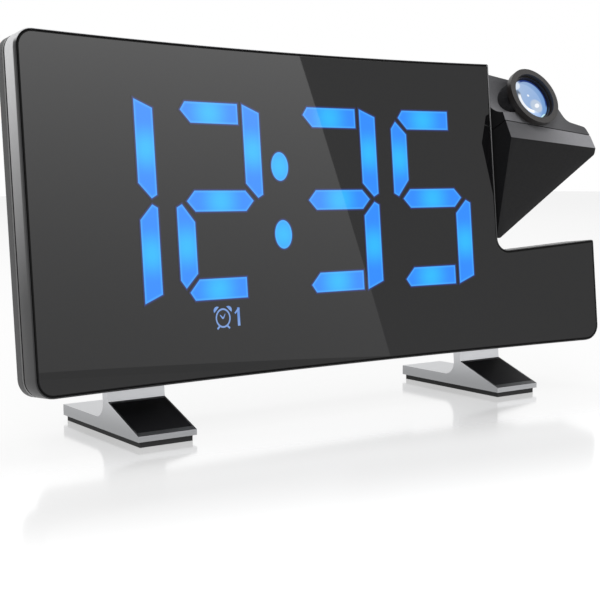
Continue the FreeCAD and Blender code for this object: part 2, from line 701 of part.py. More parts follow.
def alarm_prisms():
    """Alarm sign: a ringing clock with two bells, and the number of the alarm."""
    x, z, ring, line = -s.bell_x, s.bell_z, s.bell_radius, s.bell_line

    def draw_ring(sketch):
        ring_outline(sketch, x, z, ring)
        ring_outline(sketch, x, z, ring - line)

    def draw_marks(sketch):
        half = line / 2
        polygon(sketch, [(x - half, z - half), (x + ring / 2, z - half), (x + ring / 2, z + half),
                         (x + half, z + half), (x + half, z + ring / 2), (x - half, z + ring / 2)])
        number_x = x + ring * 2.2
        polygon(sketch, [(number_x, z - ring), (number_x + line * 1.5, z - ring),
                         (number_x + line * 1.5, z + ring), (number_x, z + ring),
                         (number_x - line * 1.5, z + ring - line * 2), (number_x, z + ring - line * 2)])
        for side in (-1, 1):
            bell = [(x + ring * 0.5 * side, z + ring * 1.25), (x + ring * 1.25 * side, z + ring * 0.6),
                    (x + ring * 1.2 * side, z + ring * 1.2)]
            leg = [(x + ring * 0.7 * side, z - ring * 0.95), (x + ring * 0.95 * side, z - ring * 0.7),
                   (x + ring * 1.2 * side, z - ring * 1.2)]
            polygon(sketch, bell)
            polygon(sketch, leg)

    return [prism("alarm_ring_window", "XZ", draw_ring, -2, s.board_front + 3),
            prism("alarm_mark_window", "XZ", draw_marks, -2, s.board_front + 3)]


def make_face():
    """Front panel with its light windows, moulded in one with it."""
    plate = common("face_plate", bow("face_bow", s.face_radius, panel_back, 0, s.face_height),
                   face_prism("face_shape", s.panel_reveal, -1, s.board_front))
    every_bar = set(digit_bars())
    windows = []
    dark = []
    for number, shown in enumerate(SHOWN):
        lit = bars_prism(f"digit_{number + 1}_window", number, shown)
        keep(common(f"digit_{number + 1}_lit", plate, lit), HOUSING)
        unlit = bars_prism(f"digit_{number + 1}_rest", number, every_bar - shown)
        windows += [lit, unlit]
        dark.append(unlit)
    keep(common("digit_bars_dark", plate, fuse("dark_windows", *dark)), HOUSING)
    colon = colon_prism()
    keep(common("colon_lit", plate, colon), HOUSING)
    bridge = block("alarm_bridge", (-s.bell_x - s.bell_line / 2, -3, s.bell_z - s.bell_radius - 1),
                   (-s.bell_x + s.bell_line / 2, past, s.bell_z - s.bell_radius / 2))
    alarm = cut("alarm_window", fuse("alarm_marks", *alarm_prisms()), bridge)
    keep(common("alarm_sign_lit", plate, alarm), HOUSING)
    windows += [colon, alarm]
    keep(cut("front_panel", plate, *windows), HOUSING)
    return windows


def screw_places(depth):
    return [(x, depth, z) for x in (-screw_left, screw_right) for z in (s.screw_low, screw_high)]


def pivot_hole(name, radius, start, end):
    return rod(name, (start, pivot_depth, pivot_z), radius, size(end) - start, TO_RIGHT)


def bearing_low():
    return pivot_z - s.bush_radius - s.cover_wall


def bearing_high():
    return pivot_z + s.bush_radius + s.cover_wall


def make_frame():
    """Frame around the display, with the plate that the panel is bonded to."""
    outline = face_prism("frame_shape", 0, -1, past)
    rim = common("frame_rim", bow("frame_bow", panel_back, seam, 0, s.face_height), outline)
    hollow = common("frame_hollow", bow("frame_inside", plate_back, cover_back, -1, s.face_height + 1),
                    face_prism("frame_inner_shape", s.frame_wall, -1, past))
    window = block("frame_window", (-box_left - s.fit_gap, 0, s.box_low - s.fit_gap),
                   (box_right + s.fit_gap, past, box_high + s.fit_gap))
    posts = []
    holes = []
    for number, (x, _, z) in enumerate(screw_places(0)):
        start = depth_at(x) + s.panel_thick + s.frame_plate / 2
        posts.append(rod(f"frame_post_{number}", (x, start, z), s.post_radius,
                         s.post_end - start, TO_BACK))
        holes.append(rod(f"frame_post_hole_{number}", (x, start + s.frame_plate, z), s.screw_radius,
                         s.post_end, TO_BACK))
    bearing_room = block("bearing_room",
                         (notch_wall - s.shaft_inside - s.fit_gap * 2, 0, bearing_low() - s.fit_gap),
                         (notch_wall - s.frame_wall, past, bearing_high() + s.fit_gap))
    shell = cut("frame_shell", rim, hollow, window, bearing_room)
    clearance = pivot_hole("frame_pivot_hole", s.bush_radius + s.fit_gap, notch_wall - s.notch_fillet,
                           notch_wall + s.notch_fillet)
    keep(cut("bezel_frame", fuse("frame_with_posts", shell, *posts), clearance, *holes), HOUSING)


def bulge(name, front, back, depth, inset, bevel=0):
    """Upright block that narrows to the back between two rectangles: left, low, right, high."""
    body = new_body(name)
    sections = [(s.bulge_start, front, inset), (depth - inset - bevel, back, inset)]
    if bevel:
        sections.append((depth - inset, back, inset + bevel))
    sketches = []
    for number, (level, (left, low, right, high), inwards) in enumerate(sections):
        sketch = new_sketch(body, f"{name}_sketch_{number}", "XZ", -size(level))
        radius = s.bulge_corner - inwards
        rounded_polygon(sketch, [(left + inwards, low + inwards, radius),
                                 (right - inwards, low + inwards, radius),
                                 (right - inwards, high - inwards, radius),
                                 (left + inwards, high - inwards, radius)])
        sketches.append(sketch)
    loft(body, sketches)
    return body


def bulges(name, inset, bevel=0):
    """Main bulge of the rear cover and the low one behind the arm."""
    main = bulge(f"{name}_main", (-bulge_left, s.bulge_low, bulge_right, back_high),
                 (-back_left, s.back_low, back_right, back_high), s.back_depth, inset, bevel)
    arm = bulge(f"{name}_arm", (arm_bulge_left, s.bulge_low, arm_bulge_right, arm_bulge_high),
                (arm_bulge_left, s.back_low, arm_back_right, arm_back_high), s.arm_depth,
                inset, bevel)
    return fuse(name, main, arm)


def tang_depth():
    """Depth of the front of a foot's post, in the housing's own frame."""
    forwards = s.face_forward - s.post_front
    upwards = s.bend_high - s.face_lift
    return forwards * cosine(s.lean) - upwards * sine(s.lean)


def tang_top():
    """Top of a foot's post, in the housing's own frame."""
    forwards = s.face_forward - s.post_front
    upwards = s.bend_high - s.face_lift
    return forwards * sine(s.lean) + upwards * cosine(s.lean) + s.tang_long


def key_place(number):
    return last_key - s.key_pitch * (len(KEYS) - 1 - number)


def slot(name, x, z, wide, tall, start, end):
    return block(name, (x - wide / 2, start, z - tall / 2), (x + wide / 2, end, z + tall / 2))


KEYS = ["mode", "set", "up", "down", "alarm", "projector"]


def cover_openings():
    """Everything that is cut through the rear cover."""
    gap = s.button_gap
    openings = [block("snooze_slot",
                      (-s.snooze_x - s.snooze_long / 2 - gap, s.snooze_front - gap,
                       back_high - s.cover_wall * 2),
                      (-s.snooze_x + s.snooze_long / 2 + gap, s.snooze_front + s.snooze_deep + gap,
                       back_high + s.cover_wall))]
    for number, key in enumerate(KEYS):
        openings.append(slot(f"{key}_slot", key_place(number), key_z, s.key_wide + gap * 2,
                             s.key_tall + gap * 2, cover_inner - s.cover_wall, past))
    openings += [
        rod("lid_recess", (cell_x, s.back_depth - s.lid_thick - s.turn_gap, cell_z),
            s.lid_radius + s.turn_gap * 2, past, TO_BACK),
        rod("cell_hole", (cell_x, cover_inner - s.lid_ring - 1, cell_z),
            s.cell_radius + s.fit_gap, past, TO_BACK),
        slot("jack_slot", -s.jack_x, s.jack_z, s.jack_side + s.fit_gap * 2, s.jack_side + s.fit_gap * 2,
             cover_inner - s.cover_wall, past),
        slot("port_slot", port_x, s.jack_z, s.port_wide + s.fit_gap * 2, s.port_tall + s.fit_gap * 2,
             cover_inner - s.cover_wall, past),
        pivot_hole("cover_pivot_hole", s.bush_radius + s.fit_gap, notch_wall - s.cover_wall,
                   notch_wall + s.cover_wall),
    ]
    openings.append(pivot_hole("clip_room", s.clip_radius + s.fit_gap * 2,
                               notch_wall - s.shaft_inside - s.fit_gap * 2, notch_wall - s.bush_long))
    for side, name in ((-1, "left"), (1, "right")):
        half = s.foot_width / 2 + s.fit_gap
        openings.append(block(f"{name}_foot_slot",
                              (side * foot_spread - half, tang_depth() - s.fit_gap, -s.bulge_low),
                              (side * foot_spread + half, tang_depth() + s.post_thick + s.fit_gap,
                               tang_top() + s.fit_gap)))
    return openings


def grille():
    """Round field of holes in front of the speaker."""
    holes = []
    rings = int((s.speaker_radius.number - s.speaker_rim.number * 2) / s.grille_pitch.number)
    for ring in range(rings):
        count = max(1, 6 * ring)
        for step in range(count):
            turn = 2 * math.pi * step / count
            x = -speaker_x + s.grille_pitch * (ring * math.cos(turn))
            z = speaker_z + s.grille_pitch * (ring * math.sin(turn))
            holes.append(rod(f"grille_hole_{ring}_{step}", (x, cover_inner - 1, z), s.grille_hole,
                             s.cover_wall + 2, TO_BACK))
    return holes


def make_rear_cover():
    rim = common("cover_rim", bow("cover_bow", seam, cover_back, 0, s.face_height),
                 face_prism("cover_shape", 0, -1, past))
    hollow = common("cover_hollow",
                    bow("cover_inside", seam - 1, cover_back - s.cover_wall, -1, s.face_height + 1),
                    face_prism("cover_inner_shape", s.cover_wall, -1, past))
    inside = bulges("cover_bulge_inside", s.cover_wall)
    front = bow("cover_front_space", s.face_radius - half_width, seam, -5, s.face_height + 5)
    outside = fuse("cover_outside", rim, bulges("cover_bulge", size(0), s.bulge_bevel))
    shell = cut("cover_shell", outside, hollow, inside, front)

    tube_radius = s.screw_head + s.fit_gap + s.tube_wall
    tube_start = s.post_end + s.fit_gap
    tubes = [rod(f"cover_tube_{number}", (x, tube_start, z), tube_radius,
                 cover_inner + s.cover_wall / 2 - tube_start, TO_BACK)
             for number, (x, _, z) in enumerate(screw_places(0))]
    limit = bulges("cover_tube_limit", size(0))
    boss_start = tang_depth() + s.post_thick + s.fit_gap
    bosses = [block(f"{name}_foot_boss",
                    (side * foot_spread - s.foot_width / 2, boss_start, s.bulge_low),
                    (side * foot_spread + s.foot_width / 2, boss_start + s.foot_screw_long,
                     s.foot_screw_z + s.foot_screw_head))
              for side, name in ((-1, "left"), (1, "right"))]
    lid_seat = rod("lid_seat", (cell_x, cover_inner - s.lid_ring, cell_z),
                   s.lid_radius + s.cover_wall, s.lid_ring + s.cover_wall / 2, TO_BACK)
    inner_parts = common("cover_inner_parts", fuse("cover_bosses", *tubes, *bosses, lid_seat), limit)
    panel_rear = depth_at(notch_wall - s.bush_long) + s.panel_thick
    bearing = block("pivot_bearing",
                    (notch_wall - s.bush_long, panel_rear + s.fit_gap, bearing_low()),
                    (notch_wall - s.frame_wall - s.fit_gap, panel_rear + s.frame_depth
                     + s.cover_edge - s.cover_wall / 2, bearing_high()))
    bearing_hole = pivot_hole("pivot_bearing_hole", s.bush_radius, notch_wall - s.bush_long - 1,
                              notch_wall)
    screw_holes = []
    for number, (x, _, z) in enumerate(screw_places(0)):
        screw_holes.append(rod(f"cover_screw_hole_{number}", (x, tube_start - 1, z),
                               s.screw_radius + s.fit_gap, past, TO_BACK))
        screw_holes.append(rod(f"cover_head_hole_{number}", (x, s.screw_floor, z),
                               s.screw_head + s.fit_gap, past, TO_BACK))
    for side, name in ((-1, "left"), (1, "right")):
        screw_holes.append(rod(f"{name}_foot_screw_hole",
                               (side * foot_spread, boss_start - 1, s.foot_screw_z), s.foot_screw,
                               s.foot_screw_long, TO_BACK))
    solid = fuse("cover_solid", shell, inner_parts, bearing)
    keep(cut("rear_cover", solid, *cover_openings(), *grille(), *screw_holes, bearing_hole), HOUSING)


def make_light_box(windows):
    """White box that keeps the light of each bar apart."""
    front = bow("box_bow", panel_back, panel_back + s.board_front, 0, s.face_height)
    body = block("box_block", (-box_left, 0, s.box_low), (box_right, s.board_front, box_high))
    keep(cut("light_box", common("box_solid", front, body), *windows), HOUSING)


def lamp_places():
    """Middle of each lit or dark bar and sign."""
    places = []
    for number in range(len(SHOWN)):
        for points in digit_bars().values():
            x = sum((point[0] for point in points), size(0)) / len(points)
            z = sum((point[1] for point in points), size(0)) / len(points)
            places.append((digit_left(number) + x, s.digit_base + z))
    colon_x = (digit_left(1) + digit_width + digit_left(2)) / 2
    middle = s.digit_base + digit_height / 2
    places += [(colon_x, middle + s.dot_spread), (colon_x, middle - s.dot_spread)]
    return places


def make_boards():
    board = block("display_board_plate", (-box_left, s.board_front, s.box_low),
                  (box_right, board_back, box_high))
    keep(group("display_board", [board]), HOUSING)
    lamps = [block(f"display_lamp_{number}",
                   (x - s.led_wide / 2, s.board_front - s.led_high, z - s.led_wide / 2),
                   (x + s.led_wide / 2, s.board_front, z + s.led_wide / 2))
             for number, (x, z) in enumerate(lamp_places())]
    keep(group("display_lamps", lamps), HOUSING)
    plate = block("main_board_plate", (-s.main_left, s.main_front, s.main_low),
                  (main_right, main_back, main_high))
    corner = rod("main_board_corner", (-s.main_left, s.main_front, s.main_low), s.screw_head,
                 s.main_thick, TO_BACK)
    keep(cut("main_board", plate, corner), HOUSING)
    chips = [block(f"chip_{number}", (x, s.main_front - high, z), (x + wide, s.main_front, z + tall))
             for number, (x, z, wide, tall, high) in enumerate((
                 (-s.main_left * 0.5, cell_z, s.chip_side, s.chip_side, s.chip_high),
                 (s.main_left * 0.2, speaker_z, s.chip_short, s.chip_long, s.chip_high),
                 (s.main_left * 0.6, s.jack_z * 1.5, s.chip_long, s.chip_short, s.chip_high)))]
    keep(group("board_chips", chips), HOUSING)


def key_stem_end():
    return cover_inner - s.fit_gap - s.flange_thick - s.key_travel - s.fit_gap


def make_switches():
    switches = []
    for number, key in enumerate(KEYS):
        x = key_place(number)
        half = s.switch_size / 2
        body = block(f"{key}_switch_body", (x - half, main_back, key_z - half),
                     (x + half, main_back + s.switch_high, key_z + half))
        stem = rod(f"{key}_switch_stem", (x, main_back + s.switch_high / 2, key_z), s.stem_radius,
                   key_stem_end() - main_back - s.switch_high / 2, TO_BACK)
        switches.append(fuse(f"{key}_switch", body, stem))
    low = main_high - s.switch_high * 1.5
    depth = s.snooze_front + s.snooze_deep / 2
    body = block("snooze_switch_body", (-s.snooze_x - s.switch_size / 2, main_back, low),
                 (-s.snooze_x + s.switch_size / 2, main_back + s.switch_size, main_high))
    stem = rod("snooze_switch_stem", (-s.snooze_x, depth, low + s.switch_high), s.stem_radius,
               snooze_floor() - s.snooze_travel - s.fit_gap - low - s.switch_high, UPRIGHT)
    switches.append(fuse("snooze_switch", body, stem))
    keep(group("tact_switches", switches), HOUSING)


def snooze_floor():
    """Underside of the snooze bar's flange at rest."""
    return back_high - s.cover_wall - s.fit_gap - s.flange_thick


def make_buttons():
    left = -s.snooze_x - s.snooze_long / 2
    right = left + s.snooze_long
    back = s.snooze_front + s.snooze_deep
    floor = snooze_floor()
    body = new_body("snooze_bar")
    cap_sketch = new_sketch(body, "snooze_cap_sketch", "XY", floor)
    polygon(cap_sketch, [(left, s.snooze_front), (right, s.snooze_front), (right, back), (left, back)])
    cap = pad(body, cap_sketch, back_high + s.snooze_proud - floor)
    doc.recompute()
    top = (back_high + s.snooze_proud).number
    edges = [f"Edge{number}" for number, edge in enumerate(cap.Shape.Edges, start=1)
             if min(vertex.Z for vertex in edge.Vertexes) > top - 0.01]
    fillet = body.newObject("PartDesign::Fillet", "Rounding")
    fillet.Base = (cap, edges)
    fillet.setExpression("Radius", (s.snooze_proud / 2).words)
    rim_sketch = new_sketch(body, "snooze_flange_sketch", "XY", floor)
    out = s.flange_out
    polygon(rim_sketch, [(left - out, s.snooze_front - out), (right + out, s.snooze_front - out),
                         (right + out, back + out), (left - out, back + out)])
    pad(body, rim_sketch, s.flange_thick)
    keep(body, HOUSING)
    for number, key in enumerate(KEYS):
        x = key_place(number)
        start = cover_inner - s.fit_gap - s.flange_thick
        body = new_body(f"button_{key}")
        sketch = new_sketch(body, f"{key}_cap_sketch", "XZ", -start)
        wide, tall = s.key_wide / 2, s.key_tall / 2
        radius = s.key_tall / 3
        rounded_polygon(sketch, [(x - wide, key_z - tall, radius), (x + wide, key_z - tall, radius),
                                 (x + wide, key_z + tall, radius), (x - wide, key_z + tall, radius)])
        cap = pad(body, sketch, s.back_depth + s.key_proud - start, backwards=True)
        doc.recompute()
        face = (s.back_depth + s.key_proud).number
        edges = [f"Edge{n}" for n, edge in enumerate(cap.Shape.Edges, start=1)
                 if min(vertex.Y for vertex in edge.Vertexes) > face - 0.01]
        fillet = body.newObject("PartDesign::Fillet", "Rounding")
        fillet.Base = (cap, edges)
        fillet.setExpression("Radius", (s.key_proud / 3).words)
        sketch = new_sketch(body, f"{key}_flange_sketch", "XZ", -start)
        wide, tall = wide + out, tall + out
        polygon(sketch, [(x - wide, key_z - tall), (x + wide, key_z - tall),
                         (x + wide, key_z + tall), (x - wide, key_z + tall)])
        pad(body, sketch, s.flange_thick, backwards=True)
        keep(body, HOUSING)


def make_speaker():
    x, z = -speaker_x, speaker_z
    front = cover_inner - s.fit_gap
    rim = rod("speaker_rim", (x, front - s.speaker_rim, z), s.speaker_radius, s.speaker_rim, TO_BACK)
    basket = rod("speaker_basket", (x, front - s.speaker_deep, z), s.speaker_radius * 0.8,
                 s.speaker_deep, TO_BACK)
    bowl = rod("speaker_bowl", (x, front - s.speaker_deep + s.speaker_rim, z),
               s.speaker_radius * 0.8 - s.speaker_rim, s.speaker_deep, TO_BACK)
    keep(cut("speaker_frame", fuse("speaker_outside", rim, basket), bowl), HOUSING)
    keep(fuse("speaker_magnet",
              rod("speaker_magnet_disc", (x, front - s.speaker_deep - s.magnet_deep, z),
                  s.magnet_radius, s.magnet_deep, TO_BACK),
              rod("speaker_magnet_plate", (x, front - s.speaker_deep - s.magnet_deep, z),
                  s.magnet_radius + s.speaker_rim, s.magnet_deep / 3, TO_BACK)), HOUSING)
    cone = doc.addObject("Part::Cone", "speaker_cone_outside")
    cone.Placement = FreeCAD.Placement(FreeCAD.Vector(), TO_BACK)
    hollow = doc.addObject("Part::Cone", "speaker_cone_inside")
    hollow.Placement = FreeCAD.Placement(FreeCAD.Vector(), TO_BACK)
    floor = front - s.speaker_deep + s.speaker_rim
    for shape, start, inner, outer in (
            (cone, floor, s.magnet_radius / 2, s.speaker_radius * 0.8 - s.speaker_rim - s.fit_gap),
            (hollow, floor + s.port_shell, s.magnet_radius / 2,
             s.speaker_radius * 0.8 - s.speaker_rim - s.fit_gap)):
        shape.setExpression("Radius1", inner.words)
        shape.setExpression("Radius2", outer.words)
        shape.setExpression("Height", (s.speaker_deep - s.speaker_rim - s.fit_gap).words)
        for axis, value in zip("xyz", (x, start, z)):
            shape.setExpression(f"Placement.Base.{axis}", value.words)
    keep(cut("speaker_cone", cone, hollow), HOUSING)


def make_battery():
    x, z = cell_x, cell_z
    holder_back = cover_inner - s.lid_ring - s.fit_gap
    side = s.cell_radius + s.cover_wall
    body = block("holder_block", (x - side, holder_back - s.holder_deep, z - side),
                 (x + side, holder_back, z + side))
    well = rod("holder_well", (x, holder_back - s.holder_deep + s.flange_thick, z),
               s.cell_radius + s.fit_gap, s.holder_deep, TO_BACK)
    keep(cut("battery_holder", body, well), HOUSING)
    cell = rod("coin_cell_disc", (x, holder_back - s.holder_deep + s.flange_thick, z),
               s.cell_radius, s.cell_thick, TO_BACK)
    keep(group("coin_cell", [cell]), HOUSING)
    start = s.back_depth - s.lid_thick
    rim = rod("lid_rim", (x, start, z), s.lid_radius, s.lid_thick, TO_BACK)
    plug = rod("lid_plug_disc", (x, start - s.lid_plug, z), s.cell_radius - s.fit_gap, s.lid_plug,
               TO_BACK)
    groove = slot("lid_groove", x, z, s.lid_radius * 1.4, s.coin_slot, s.back_depth - s.lid_thick / 2,
                  past)
    keep(cut("battery_lid", fuse("lid_solid", rim, plug), groove), HOUSING)


def make_ports():
    x, z = -s.jack_x, s.jack_z
    half = s.jack_side / 2
    shell = block("jack_shell", (x - half, main_back, z - half), (x + half, s.back_depth, z + half))
    hole = rod("jack_bore", (x, main_back + s.cover_wall, z), s.jack_hole, past, TO_BACK)
    keep(cut("power_inlet", shell, hole), HOUSING)
    pin = rod("inlet_pin_rod", (x, main_back + s.cover_wall, z), s.jack_pin,
              s.back_depth - s.lid_thick - main_back - s.cover_wall, TO_BACK)
    keep(group("inlet_pin", [pin]), HOUSING)
    x = port_x
    shell = slot("port_shell_block", x, z, s.port_wide, s.port_tall, main_back, s.back_depth)
    mouth = slot("port_mouth", x, z, s.port_wide - s.port_shell * 2, s.port_tall - s.port_shell * 2,
                 main_back + s.port_shell, past)
    keep(cut("charging_port", shell, mouth), HOUSING)
    tongue = slot("port_tongue_block", x, z + s.port_tall / 5, s.port_wide - s.port_shell * 6,
                  s.port_shell * 3, main_back + s.port_shell, s.back_depth - s.lid_thick)
    keep(group("port_tongue", [tongue]), HOUSING)


def make_housing_screws():
    head = s.screw_floor
    places = screw_places(head)
    keep(screws("housing_screws", places, s.screw_radius, s.screw_head, s.screw_head_high,
                s.screw_long), HOUSING)
    front = tang_depth()
    foot_places = [(side * foot_spread, front, s.foot_screw_z) for side in (-1, 1)]
    made = []
    for number, (x, y, z) in enumerate(foot_places, start=1):
        top = rod(f"foot_screw_top_{number}", (x, y - s.foot_screw_high, z), s.foot_screw_head,
                  s.foot_screw_high, TO_BACK)
        shank = rod(f"foot_screw_shank_{number}", (x, y, z), s.foot_screw,
                    s.foot_screw_long, TO_BACK)
        made.append(fuse(f"foot_screw_{number}", top, shank))
    keep(group("foot_screws", made), HOUSING)


# Feet stand upright on the table and carry the leaning housing.
def make_foot(side, name):
    front, back = -s.foot_front, s.foot_back
    top = s.pad_high + s.base_thick
    bend = (-s.post_front, s.bend_high)
    tang = (bend[0] + s.tang_long * sine(s.lean), bend[1] + s.tang_long * cosine(s.lean))
    rear = (tang[0] + s.post_thick * cosine(s.lean), tang[1] - s.post_thick * sine(s.lean))
    drop = (rear[1] - top) / cosine(s.lean)
    root_point = (rear[0] - drop * sine(s.lean), top)
    lip = (front, s.pad_high + s.lip_high)

    body = new_body(f"foot_{name}_blank")
    sketch = new_sketch(body, f"foot_{name}_side", "YZ", side * foot_spread - s.foot_width / 2)
    polygon(sketch, [(front, s.pad_high), (back, s.pad_high), (back, top), root_point, rear, tang,
                     bend, lip])
    blank = pad(body, sketch, s.foot_width)
    doc.recompute()
    edges = [f"Edge{number}" for number, edge in enumerate(blank.Shape.Edges, start=1)
             if all(abs(v.Y - root_point[0].number) < 0.01 and abs(v.Z - top.number) < 0.01
                    for v in edge.Vertexes)]
    fillet = body.newObject("PartDesign::Fillet", "Root")
    fillet.Base = (blank, edges)
    fillet.setExpression("Radius", s.foot_fillet.words)

    slope_y, slope_z = bend[0] - lip[0], bend[1] - lip[1]
    slope = root(slope_y * slope_y + slope_z * slope_z)
    along = (slope_y / slope, slope_z / slope)
    upper = (bend[0] - along[0] * s.insert_top, bend[1] - along[1] * s.insert_top)
    lower = (lip[0] + along[0] * s.insert_foot, lip[1] + along[1] * s.insert_foot)
    inwards = (along[1] * s.insert_thick, -along[0] * s.insert_thick)
    left = side * foot_spread - s.foot_width / 2 + s.insert_side
    sheet_body = new_body(f"foot_insert_{name}")
    sketch = new_sketch(sheet_body, f"foot_insert_{name}_side", "YZ", left)
    polygon(sketch, [lower, (lower[0] + inwards[0], lower[1] + inwards[1]),
                     (upper[0] + inwards[0], upper[1] + inwards[1]), upper])
    pad(sheet_body, sketch, s.foot_width - s.insert_side * 2)
    keep(sheet_body, None)
    hole = rod(f"foot_{name}_hole", (side * foot_spread, tang_depth() - 1, s.foot_screw_z),
               s.foot_screw + s.turn_gap, s.post_thick + 2, TO_BACK)
    leaned = group(f"foot_{name}_leaned_hole", [hole])
    leaned.Placement = HOUSING
    keep(cut(f"foot_{name}", body, sheet_body, leaned), None)

    inset = s.pad_inset
    keep(block(f"foot_pad_{name}",
               (side * foot_spread - s.foot_width / 2 + inset, front + inset, 0),
               (side * foot_spread + s.foot_width / 2 - inset, back - inset, s.pad_high)), None)


# Pivot of the head.
def make_pivot():
    wall = notch_wall
    start = wall - s.shaft_inside
    end = wall + s.head_gap + s.shaft_head
    solid = rod("shaft_solid", (start, pivot_depth, pivot_z), s.shaft_radius, end - start, TO_RIGHT)
    wire_hole = rod("shaft_wire_hole", (start, pivot_depth, pivot_z), s.shaft_hole, end - start,
                    TO_RIGHT)
    clip_start = wall - s.bush_long - s.turn_gap * 2 - s.clip_thick
    groove = cut("shaft_groove",
                 rod("groove_outside", (clip_start, pivot_depth, pivot_z), s.clip_radius,
                     s.clip_thick, TO_RIGHT),
                 rod("groove_inside", (clip_start, pivot_depth, pivot_z),
                     s.shaft_radius - s.groove_deep, s.clip_thick, TO_RIGHT))
    keep(cut("pivot_shaft", solid, wire_hole, groove), HOUSING)
    keep(tube("pivot_bush", (wall - s.bush_long, pivot_depth, pivot_z), s.bush_radius,
              s.shaft_radius + s.turn_gap, s.bush_long, TO_RIGHT), HOUSING)
    ring = tube("clip_ring", (clip_start, pivot_depth, pivot_z), s.clip_radius,
                s.shaft_radius - s.groove_deep, s.clip_thick, TO_RIGHT)
    mouth = block("clip_mouth",
                  (clip_start - 1, pivot_depth - s.shaft_hole, pivot_z - s.clip_radius * 2),
                  (clip_start + s.clip_thick + 1, pivot_depth + s.shaft_hole, pivot_z))
    keep(cut("retaining_clip", ring, mouth), HOUSING)
    keep(tube("friction_washer",
              (wall + (s.head_gap - s.washer_thick) / 2, pivot_depth, pivot_z),
              s.washer_radius, s.shaft_radius + s.turn_gap, s.washer_thick, TO_RIGHT), HOUSING)


# Lens head, in its own frame.
def head_profile(inset, ridge):
    """Side view of the head: distance behind the pivot, height above it."""
    inset = size(inset)
    back = s.head_back - inset
    return [(s.far_left - inset, s.cap_level - inset),
            (s.far_left + s.heel_out - inset, s.heel_level),
            (s.far_left - inset * 1.6, -s.apex_back),
            (s.keel_far, -back),
            (-s.beak_front - inset, -back),
            (-s.apex_drop + inset * 1.6, -s.apex_back - inset * 0.4),
            (-ridge + inset * 0.45, s.cap_level - inset)]


def head_outline(inset):
    """Head seen along the lens: distance from the left side, distance behind the pivot."""
    inset = size(inset)
    return [
        (inset, -s.apex_drop + inset * 1.5, s.tip_radius),
        (s.apex_wide + inset * 0.5, -s.apex_drop + inset * 1.5, s.tip_radius),
        (s.head_long - inset * 1.6, -s.beak_front, s.beak_round),
        (s.head_long - s.beak_slant - inset, -s.beak_side - inset, s.tip_radius),
        (s.head_long - s.beak_radius - inset, -s.beak_corner - inset, s.beak_radius),
        (s.neck_right - inset, -s.beak_far - inset, s.neck_radius + inset),
        (s.lobe_right - inset, s.far_left - s.far_slope * s.lobe_right - inset,
         s.lobe_radius - inset),
        (inset, s.far_left - inset, s.tip_radius),
    ]


def head_solid(name, inset):
    """Head with its ridge slanting forwards to the right, cut to its outline."""
    top = s.cap_level - inset
    body = new_body(f"{name}_side")
    sketches = []
    for end, level, ridge in (("left", size(inset), s.ridge_left),
                              ("right", s.head_long - inset, s.ridge_right)):
        sketch = new_sketch(body, f"{name}_{end}_sketch", "YZ", level)
        polygon(sketch, head_profile(inset, ridge))
        sketches.append(sketch)
    loft(body, sketches)
    plan = prism(f"{name}_plan", "XY", lambda sketch: rounded_polygon(sketch, head_outline(inset)),
                 -s.head_back - 5, s.head_back + 5 + top)
    return common(name, body, plan)


def seam_prism(name, shift, behind):
    """Everything in front of the head's seam, or behind it."""
    reach = s.head_long + 5
    slope = (s.seam_right - s.seam_left) / s.head_long
    near = -s.seam_left + shift
    far = -s.seam_left - slope * reach + shift
    start = near + slope * 5
    edge = s.apex_drop + 10
    end = edge if behind else -edge
    points = [(-5, start), (reach, far), (reach, end), (-5, end)]
    if not behind:
        points.reverse()
    return prism(name, "XY", lambda sketch: polygon(sketch, points), -edge, edge * 2)


def along_lens(name, radius, low, high):
    return rod(name, (s.lens_x, s.lens_far, low), radius, size(high) - low, UPRIGHT)


def make_head():
    outside = head_solid("head_outside", size(0))
    inside = head_solid("head_inside", s.head_wall)
    walls = cut("head_walls", outside, inside)
    hub = rod("head_hub", (0, 0, 0), s.shaft_radius + s.head_wall, s.shaft_head, TO_RIGHT)
    shaft_hole = rod("head_shaft_hole", (-1, 0, 0), s.shaft_radius, s.shaft_head + 1, TO_RIGHT)
    lower = cut("shell_half", walls, seam_prism("behind_seam", -s.seam_gap / 2, True))
    keep(cut("head_shell", fuse("shell_with_hub", lower, hub), shaft_hole,
             along_lens("shell_barrel_hole", s.barrel_radius + s.fit_gap, s.barrel_foot - 1, past)), HEAD)
    upper = cut("cap_half", walls, seam_prism("before_seam", s.seam_gap / 2, False))
    scoop = rod("cap_scoop", (-1, s.scoop_far, s.scoop_level), s.scoop_radius, s.lens_x + 1, TO_RIGHT)
    hub_room = rod("cap_hub_room", (-1, 0, 0), s.shaft_radius + s.head_wall + s.fit_gap,
                   s.shaft_head + 2, TO_RIGHT)
    floor = common("scoop_floor_solid", outside,
                   rod("scoop_floor_rod", (0, s.scoop_far, s.scoop_level),
                       s.scoop_radius + s.head_wall, s.lens_x, TO_RIGHT))
    keep(cut("head_cap", fuse("cap_with_floor", upper, floor), scoop, hub_room,
             seam_prism("floor_before_seam", s.seam_gap / 2, False),
             along_lens("cap_barrel_hole", s.barrel_radius, s.barrel_foot - 10, past)), HEAD)


